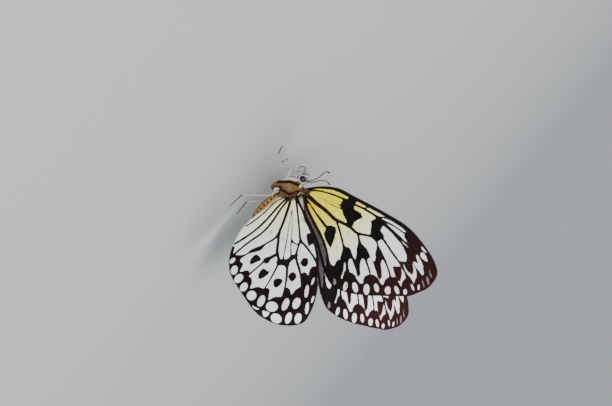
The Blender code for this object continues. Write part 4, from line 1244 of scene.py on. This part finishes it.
class KITE_OT_head(bpy.types.Operator):
    """Make the eyes, palps, coiled tongue and feelers"""

    bl_idname = "kite.head"
    bl_label = "Eyes and feelers"

    def execute(self, context):
        colours = context.scene.kite_colour
        dark = plain_look("Feeler", colours.feeler, (0.03, 0.026, 0.026), 2200.0, 0.55,
                          Specular_IOR_Level=0.15)
        hair = coat_look("Palp_hair", 0.6)
        eye = eye_look(colours)
        width = context.scene.kite_body.hair_width / MM
        for side, word in SIDES:
            made = Shape()
            turn = np.linspace(0.02, math.pi - 0.02, 60)
            around = np.arange(96) * 2 * math.pi / 96
            unit = np.stack([np.sin(turn)[:, None] * np.cos(around), np.cos(turn)[:, None] + 0 * around,
                             np.sin(turn)[:, None] * np.sin(around)], -1)
            centre = np.array(EYE_CENTRE) * (1, side, 1)
            rings = centre + unit * (np.array(EYE_RADII) - 0.01)
            add_tube(made, to_world(rings).reshape(rings.shape))
            made.make(f"eye_ball_{word}", eye, "eye", f"eye_{word}")

            made = Shape()
            path = smooth_path([(f, side * l, u) for f, l, u in FEELERS[side]], 0.045)
            path = np.concatenate([path[:1] - (path[8] - path[0]) * 0.6, path])
            share = np.linspace(0, 1, len(path))
            club = smooth_step(share, 0.80, 0.93) * (1 - 0.75 * smooth_step(share, 0.965, 1.0))
            joint = 0.5 - 0.5 * np.cos(2 * math.pi * share * 36)
            radii = (0.135 + 0.035 * (1 - share) + 0.13 * club) * (0.90 + 0.10 * joint**0.4)
            radii[-3:] *= (0.85, 0.6, 0.25)
            rings = swept_rings(path, radii, 14)
            add_tube(made, to_world(rings).reshape(rings.shape))
            made.make(f"feeler_{word}", dark, "feeler", f"antenna_{word}")

            made = Shape()
            path = smooth_path([(f, side * l, u) for f, l, u in PALP], 0.08)
            share = np.linspace(0, 1, len(path))
            radii = np.interp(share, (0, 0.45, 0.62, 0.66, 0.95, 1.0), (0.22, 0.26, 0.22, 0.19, 0.12, 0.03))
            rings = swept_rings(path, radii, 14)
            tones = np.tile(np.array(colours.coat_white), (*rings.shape[:2], 1))
            tones[:, 4:9] = np.array(colours.coat_black)
            add_tube(made, to_world(rings).reshape(rings.shape), (0, 2), coat_colour=tones)
            random = np.random.default_rng(11)
            number = 420
            i = random.integers(0, len(rings) - 1, number)
            j = random.integers(0, 14, number)
            normal = ring_normals(rings)[i, j]
            ahead = np.gradient(path, axis=0)[i]
            ahead /= np.linalg.norm(ahead, axis=1)[:, None]
            size = 0.28 * (0.6 + 0.6 * random.random(number))
            points, faces = spikes(rings[i, j] - normal * 0.02, normal, ahead + 0.45 * normal, size,
                                   np.full(number, width * 0.8), 0.1 + 0 * size)
            made.add(to_world(points), faces, tuft_map(j / 14, i / len(rings), (1, 2)),
                     coat_colour=np.repeat(tones[i, j], 7, axis=0))
            made.make(f"palp_coat_{word}", hair, "body_scales", f"palp_{word}")
        made = Shape()
        share = np.linspace(0, 1, 150)
        turn = math.radians(COIL_START) + COIL_TURNS * 2 * math.pi * share
        radius = COIL_OUTER + (COIL_INNER - COIL_OUTER) * share
        coil = np.stack([COIL_CENTRE[0] + radius * np.cos(turn), 0 * turn,
                         COIL_CENTRE[1] + radius * np.sin(turn)], 1)
        lead = smooth_path(((3.9, 0.0, -3.3), tuple(coil[0] + (-0.25, 0, 0.35)), tuple(coil[0])), 0.08)
        path = np.concatenate([lead[:-1], coil])
        share = np.linspace(0, 1, len(path))
        ribs = 0.93 + 0.07 * np.cos(2 * math.pi * share * 60)
        rings = swept_rings(path, (0.2 - 0.09 * share) * ribs, 12, 1.0, (0.0, 1.0, 0.0))
        add_tube(made, to_world(rings).reshape(rings.shape))
        made.make("coiled_tongue", dark, "feeler", "proboscis")
        return {"FINISHED"}


def leg_paths(side):
    """Each leg's name, which is also its node's, and its joints from the trunk to the foot."""
    fore = ((0.9, 0.9, -4.4), (2.6, 1.1, -5.3), (4.0, 1.4, -5.0), (2.2, 1.9, -6.2))
    middle = ((-1.2, 1.5, -4.9), stance(-3.9, 4.3, 6.3), stance(-4.6, 5.8, 0.2), stance(-7.0, 9.0, 0.2))
    hind = ((-3.5, 1.6, -4.7), stance(7.0, 4.2, 7.3), stance(13.0, 5.6, 0.2), stance(18.2, 7.6, 0.2))
    for name, path in (("foreleg", fore), ("midleg", middle), ("hindleg", hind)):
        yield name, [np.array((f, side * l, u)) for f, l, u in path]


def add_toned_tube(made, rings, tile, tone):
    """A tube of one colour, from rings in the body's millimetres."""
    tones = np.tile(tone, (*rings.shape[:2], 1))
    add_tube(made, to_world(rings).reshape(rings.shape), tile, coat_colour=tones)


def leg_part(made, start, end, radii, tone, tile, columns=12):
    share = np.linspace(0, 1, 26)
    path = start + (end - start) * share[:, None]
    widths = np.interp(share, np.linspace(0, 1, len(radii)), radii)
    rings = swept_rings(path, widths * rounded_ends(share, 0.04), columns, 0.86, (0.1, 1.0, 0.2))
    add_toned_tube(made, rings, tile, tone)
    return rings


class KITE_OT_legs(bpy.types.Operator):
    """Make the jointed legs with their spines and claws"""

    bl_idname = "kite.legs"
    bl_label = "Legs"

    def execute(self, context):
        colours = context.scene.kite_colour
        pale, dark = np.array(colours.leg), np.array(colours.foot)
        look = coat_look("Leg_scales", 0.5)
        for side, word in SIDES:
            for name, path in leg_paths(side):
                made = Shape()
                random = np.random.default_rng(21)
                small = name == "foreleg"
                thick = 0.6 if small else 1.0
                hip = path[0] + (path[0] - path[1]) * 0.06
                joints = 2 if small else 5
                tubes = joints + (2 if small else 4)
                tiles = tubes + joints + 2
                lengths = [
                    leg_part(made, hip, path[1], np.array((0.36, 0.33, 0.3, 0.24, 0.2)) * thick, pale,
                             (0, tiles)),
                    leg_part(made, path[1], path[2], np.array((0.2, 0.22, 0.2, 0.17, 0.16)) * thick,
                             pale * 0.75 + dark * 0.25, (1, tiles)),
                ]
                knots = np.linspace(0, 1, joints + 1)
                for k in range(joints):
                    a = path[2] + (path[3] - path[2]) * knots[k]
                    b = path[2] + (path[3] - path[2]) * (knots[k + 1] + 0.015)
                    shape = np.array((0.13, 0.14, 0.165)) * (1 - 0.08 * k) * thick
                    lengths.append(leg_part(made, a, b, shape, dark, (k + 2, tiles)))
                for k, rings in enumerate(lengths):
                    number = 70
                    i = random.integers(2, len(rings) - 3, number)
                    j = random.integers(0, rings.shape[1], number)
                    normal = ring_normals(rings)[i, j]
                    ahead = np.gradient(rings.mean(1), axis=0)[i]
                    ahead /= np.linalg.norm(ahead, axis=1)[:, None]
                    size = 0.2 * (0.6 + 0.8 * random.random(number)) * thick
                    roots = rings[i, j] - normal * 0.02
                    points, faces = spikes(roots, normal, ahead + 0.5 * normal, size, np.full(number, 0.022),
                                           0.0 * size)
                    world = to_world(points)
                    world[:, 2] = np.maximum(world[:, 2], 0.00003)
                    uv = tuft_map(j / rings.shape[1], i / len(rings), (tubes + k, tiles))
                    made.add(world, faces, uv, coat_colour=np.tile(dark * 0.6, (len(points), 1)))
                if not small:
                    tip = path[3]
                    away = (path[3] - path[2]) / np.linalg.norm(path[3] - path[2])
                    for number, lean in ((tubes - 2, -1), (tubes - 1, 1)):
                        out = np.array([0.0, lean * 0.12, 0.0])
                        claw_bend = tip + away * 0.05 + out * 0.7
                        claw = smooth_path((tip - away * 0.1, claw_bend, tip + away * 0.12 + out), 0.03)
                        claw_widths = np.linspace(0.06, 0.015, len(claw))
                        rings = swept_rings(claw, claw_widths, 8, 1.0, (0.1, 1.0, 0.2))
                        add_toned_tube(made, rings, (number, tiles), dark * 0.4)
                made.make(f"{name}_scaled_{word}", look, "leg", f"{name}_{word}")
        return {"FINISHED"}


class KITE_OT_hinges(bpy.types.Operator):
    """Make the plates and hair that join each wing to the thorax"""

    bl_idname = "kite.hinges"
    bl_label = "Wing hinges"

    def execute(self, context):
        colours = context.scene.kite_colour
        look = coat_look("Hinge", 0.5)
        width = context.scene.kite_body.hair_width / MM
        for side, word in SIDES:
            made = Shape()
            for number, kind in enumerate(ROOTS):
                root, along, behind, above, _ = wing_axes(kind, side)
                lobes = (
                    (-0.9, 0.0, 1.4, 0.48, "coat_brown"), (-0.2, -0.75, 0.9, 0.32, "coat_brown"),
                    (-0.2, 0.9, 0.95, 0.30, "coat_tan"), (0.9, 0.1, 0.9, 0.24, "coat_black"),
                )
                for k, (u, v, long, high, tone) in enumerate(lobes):
                    centre = root + u * along + v * behind
                    turn = np.linspace(0.05, math.pi - 0.05, HINGE_RINGS)
                    around = np.arange(HINGE_COLUMNS) * 2 * math.pi / HINGE_COLUMNS
                    rings = (centre + long * np.cos(turn)[:, None, None] * along
                             + 0.5 * long * (np.sin(turn)[:, None] * np.cos(around))[:, :, None] * behind
                             + high * (np.sin(turn)[:, None] * np.sin(around))[:, :, None] * above)
                    if side > 0:
                        rings = rings[:, ::-1]
                    shade = np.array(getattr(colours, tone))
                    add_toned_tube(made, rings, (4 * number + k, HINGE_TILES), shade)
                    random = np.random.default_rng(41 + k)
                    count = 170
                    i = random.integers(1, len(rings) - 1, count)
                    j = random.integers(0, rings.shape[1], count)
                    normal = ring_normals(rings)[i, j]
                    leans = along + 0.3 * normal + 0.35 * (random.random((count, 3)) - 0.5)
                    size = 0.55 * (0.5 + 0.7 * random.random(count))
                    points, faces = spikes(rings[i, j] - 0.02 * normal, normal, leans, size,
                                           np.full(count, width), 0.15 + 0 * size)
                    pick = random.random(count)[:, None] < 0.4
                    tone = np.where(pick, np.array(colours.coat_cream) * 0.8, shade)
                    uv = tuft_map(j / HINGE_COLUMNS, i / HINGE_RINGS, (8 + 4 * number + k, HINGE_TILES))
                    made.add(to_world(points), faces, uv, coat_colour=np.repeat(tone, 7, axis=0))
                random = np.random.default_rng(31)
                count = 260
                place = random.random((count, 2))
                spot = place * (3.4, 2.2) - (0.9, 1.1)
                for k, sign in enumerate((1, -1)):
                    roots = root + spot[:, :1] * along + spot[:, 1:] * behind + sign * 0.12 * above
                    normal = np.tile(sign * above, (count, 1))
                    leans = along + 0.3 * normal + 0.4 * (random.random((count, 3)) - 0.5)
                    size = 0.7 * (0.5 + 0.7 * random.random(count))
                    points, faces = spikes(roots, normal, leans, size, np.full(count, width), 0.2 + 0 * size)
                    uv = tuft_map(*place.T, (16 + 2 * number + k, HINGE_TILES))
                    pick = random.random(count)[:, None] < 0.35
                    tone = np.where(pick, np.array(colours.coat_cream) * 0.7, np.array(colours.coat_brown))
                    made.add(to_world(points), faces, uv, coat_colour=np.repeat(tone, 7, axis=0))
            made.make(f"wing_hinges_{word}", look, "body_scales")
        return {"FINISHED"}


class KITE_OT_stage(bpy.types.Operator):
    """Make the floor, the soft lights and the camera"""

    bl_idname = "kite.stage"
    bl_label = "Stage"

    def execute(self, context):
        stage = context.scene.kite_stage
        look = Look("Floor", Roughness=0.9)
        look.colour(tuple(stage.floor))
        # A round floor that curves up into its own backdrop
        bend = np.linspace(0.0, math.pi / 2, 40)[1:]
        radii = np.concatenate([[0.3, 0.8, 1.3], 1.3 + 1.5 * np.sin(bend)])
        heights = np.concatenate([np.zeros(3), 1.5 - 1.5 * np.cos(bend)])
        turn = np.arange(96) * 2 * math.pi / 96
        rings = np.stack([radii[:, None] * np.cos(turn), radii[:, None] * np.sin(turn),
                          heights[:, None] + 0 * turn], -1)
        rows, columns = rings.shape[:2]
        quads = tube_faces(rows, columns)[0]
        fan = [(rows * columns, k, (k + 1) % columns) for k in range(columns)]
        points = [*rings.reshape(-1, 3).tolist(), (0.0, 0.0, 0.0)]
        mesh = bpy.data.meshes.new("floor")
        mesh.from_pydata(points, [], [*quads[:, ::-1].tolist(), *fan])
        mesh.materials.append(look.material)
        mesh.polygons.foreach_set("use_smooth", np.full(len(mesh.polygons), True))
        floor = bpy.data.objects.new("floor", mesh)
        context.scene.collection.objects.link(floor)
        floor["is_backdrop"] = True

        axes = Matrix((VIEW_FORWARD, VIEW_LEFT, VIEW_UP))
        forward, left, up = (Vector(row) for row in axes)
        x_axis = -math.cos(PITCH) * forward + math.sin(PITCH) * up
        z_axis = math.sin(PITCH) * forward + math.cos(PITCH) * up
        to_view = Matrix((x_axis, -left, z_axis)).transposed()
        place = Vector(BODY_PLACE) - to_view.transposed() @ Vector(VIEW_PLACE)
        camera = bpy.data.cameras.new("camera")
        camera.sensor_width = stage.sensor
        camera.lens = FOCAL_SHARE * stage.sensor
        camera.clip_start, camera.clip_end = 0.01, 20.0
        holder = bpy.data.objects.new("camera", camera)
        holder.matrix_world = Matrix.Translation(place * MM) @ to_view.transposed().to_4x4()
        context.scene.collection.objects.link(holder)
        context.scene.camera = holder

        target = Vector((0.0, 0.0, 0.03))
        lights = (
            ("key", target + Vector((0.25, -1.5, 0.42)), 0.9, stage.key),
            ("fill", target + Vector((-1.3, -1.0, 0.35)), 0.9, stage.fill),
            ("top", target + Vector((0.0, -0.2, 1.8)), 1.4, stage.top),
        )
        for name, spot, size, power in lights:
            lamp = bpy.data.lights.new(name, "AREA")
            lamp.shape = "DISK"
            lamp.size = size
            lamp.energy = power
            lamp_object = bpy.data.objects.new(name, lamp)
            lamp_object.location = spot
            lamp_object.rotation_euler = (target - spot).to_track_quat("-Z", "Y").to_euler()
            context.scene.collection.objects.link(lamp_object)
        world = bpy.data.worlds.new("Studio")
        world.use_nodes = True
        world.node_tree.nodes["Background"].inputs["Color"].default_value = (0.9, 0.95, 1.0, 1.0)
        world.node_tree.nodes["Background"].inputs["Strength"].default_value = stage.sky
        context.scene.world = world
        return {"FINISHED"}


OPERATORS = (KITE_OT_wings, KITE_OT_veins, KITE_OT_skin, KITE_OT_coat, KITE_OT_head, KITE_OT_legs,
             KITE_OT_hinges, KITE_OT_stage)


class KITE_PT_panel(bpy.types.Panel):
    """Lists the pieces of the butterfly"""

    bl_idname = "KITE_PT_panel"
    bl_label = "Paper kite butterfly"
    bl_space_type = "VIEW_3D"
    bl_region_type = "UI"
    bl_category = "Kite"

    def draw(self, context):
        for operator in OPERATORS:
            self.layout.operator(operator.bl_idname)
        for key in SETTINGS:
            box = self.layout.box()
            group = getattr(context.scene, key)
            for name in group.bl_rna.properties.keys():
                if name not in ("rna_type", "name"):
                    box.prop(group, name)


SETTINGS = {
    "kite_wing": KiteWingSettings,
    "kite_body": KiteBodySettings,
    "kite_colour": KiteColourSettings,
    "kite_stage": KiteStageSettings,
}
CLASSES = (*SETTINGS.values(), *OPERATORS, KITE_PT_panel)


def register():
    for kind in CLASSES:
        bpy.utils.register_class(kind)
    for key, kind in SETTINGS.items():
        setattr(bpy.types.Scene, key, PointerProperty(type=kind))


def unregister():
    for key in SETTINGS:
        delattr(bpy.types.Scene, key)
    for kind in reversed(CLASSES):
        bpy.utils.unregister_class(kind)


def corners():
    return [list(corner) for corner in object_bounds()]


def main():
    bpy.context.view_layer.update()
    register()
    bpy.ops.kite.wings()
    bpy.ops.kite.veins()
    bpy.ops.kite.skin()
    bpy.ops.kite.coat()
    bpy.ops.kite.head()
    bpy.ops.kite.legs()
    bpy.ops.kite.hinges()
    bpy.ops.kite.stage()
    bpy.context.view_layer.update()


if __name__ == "__main__":
    main()
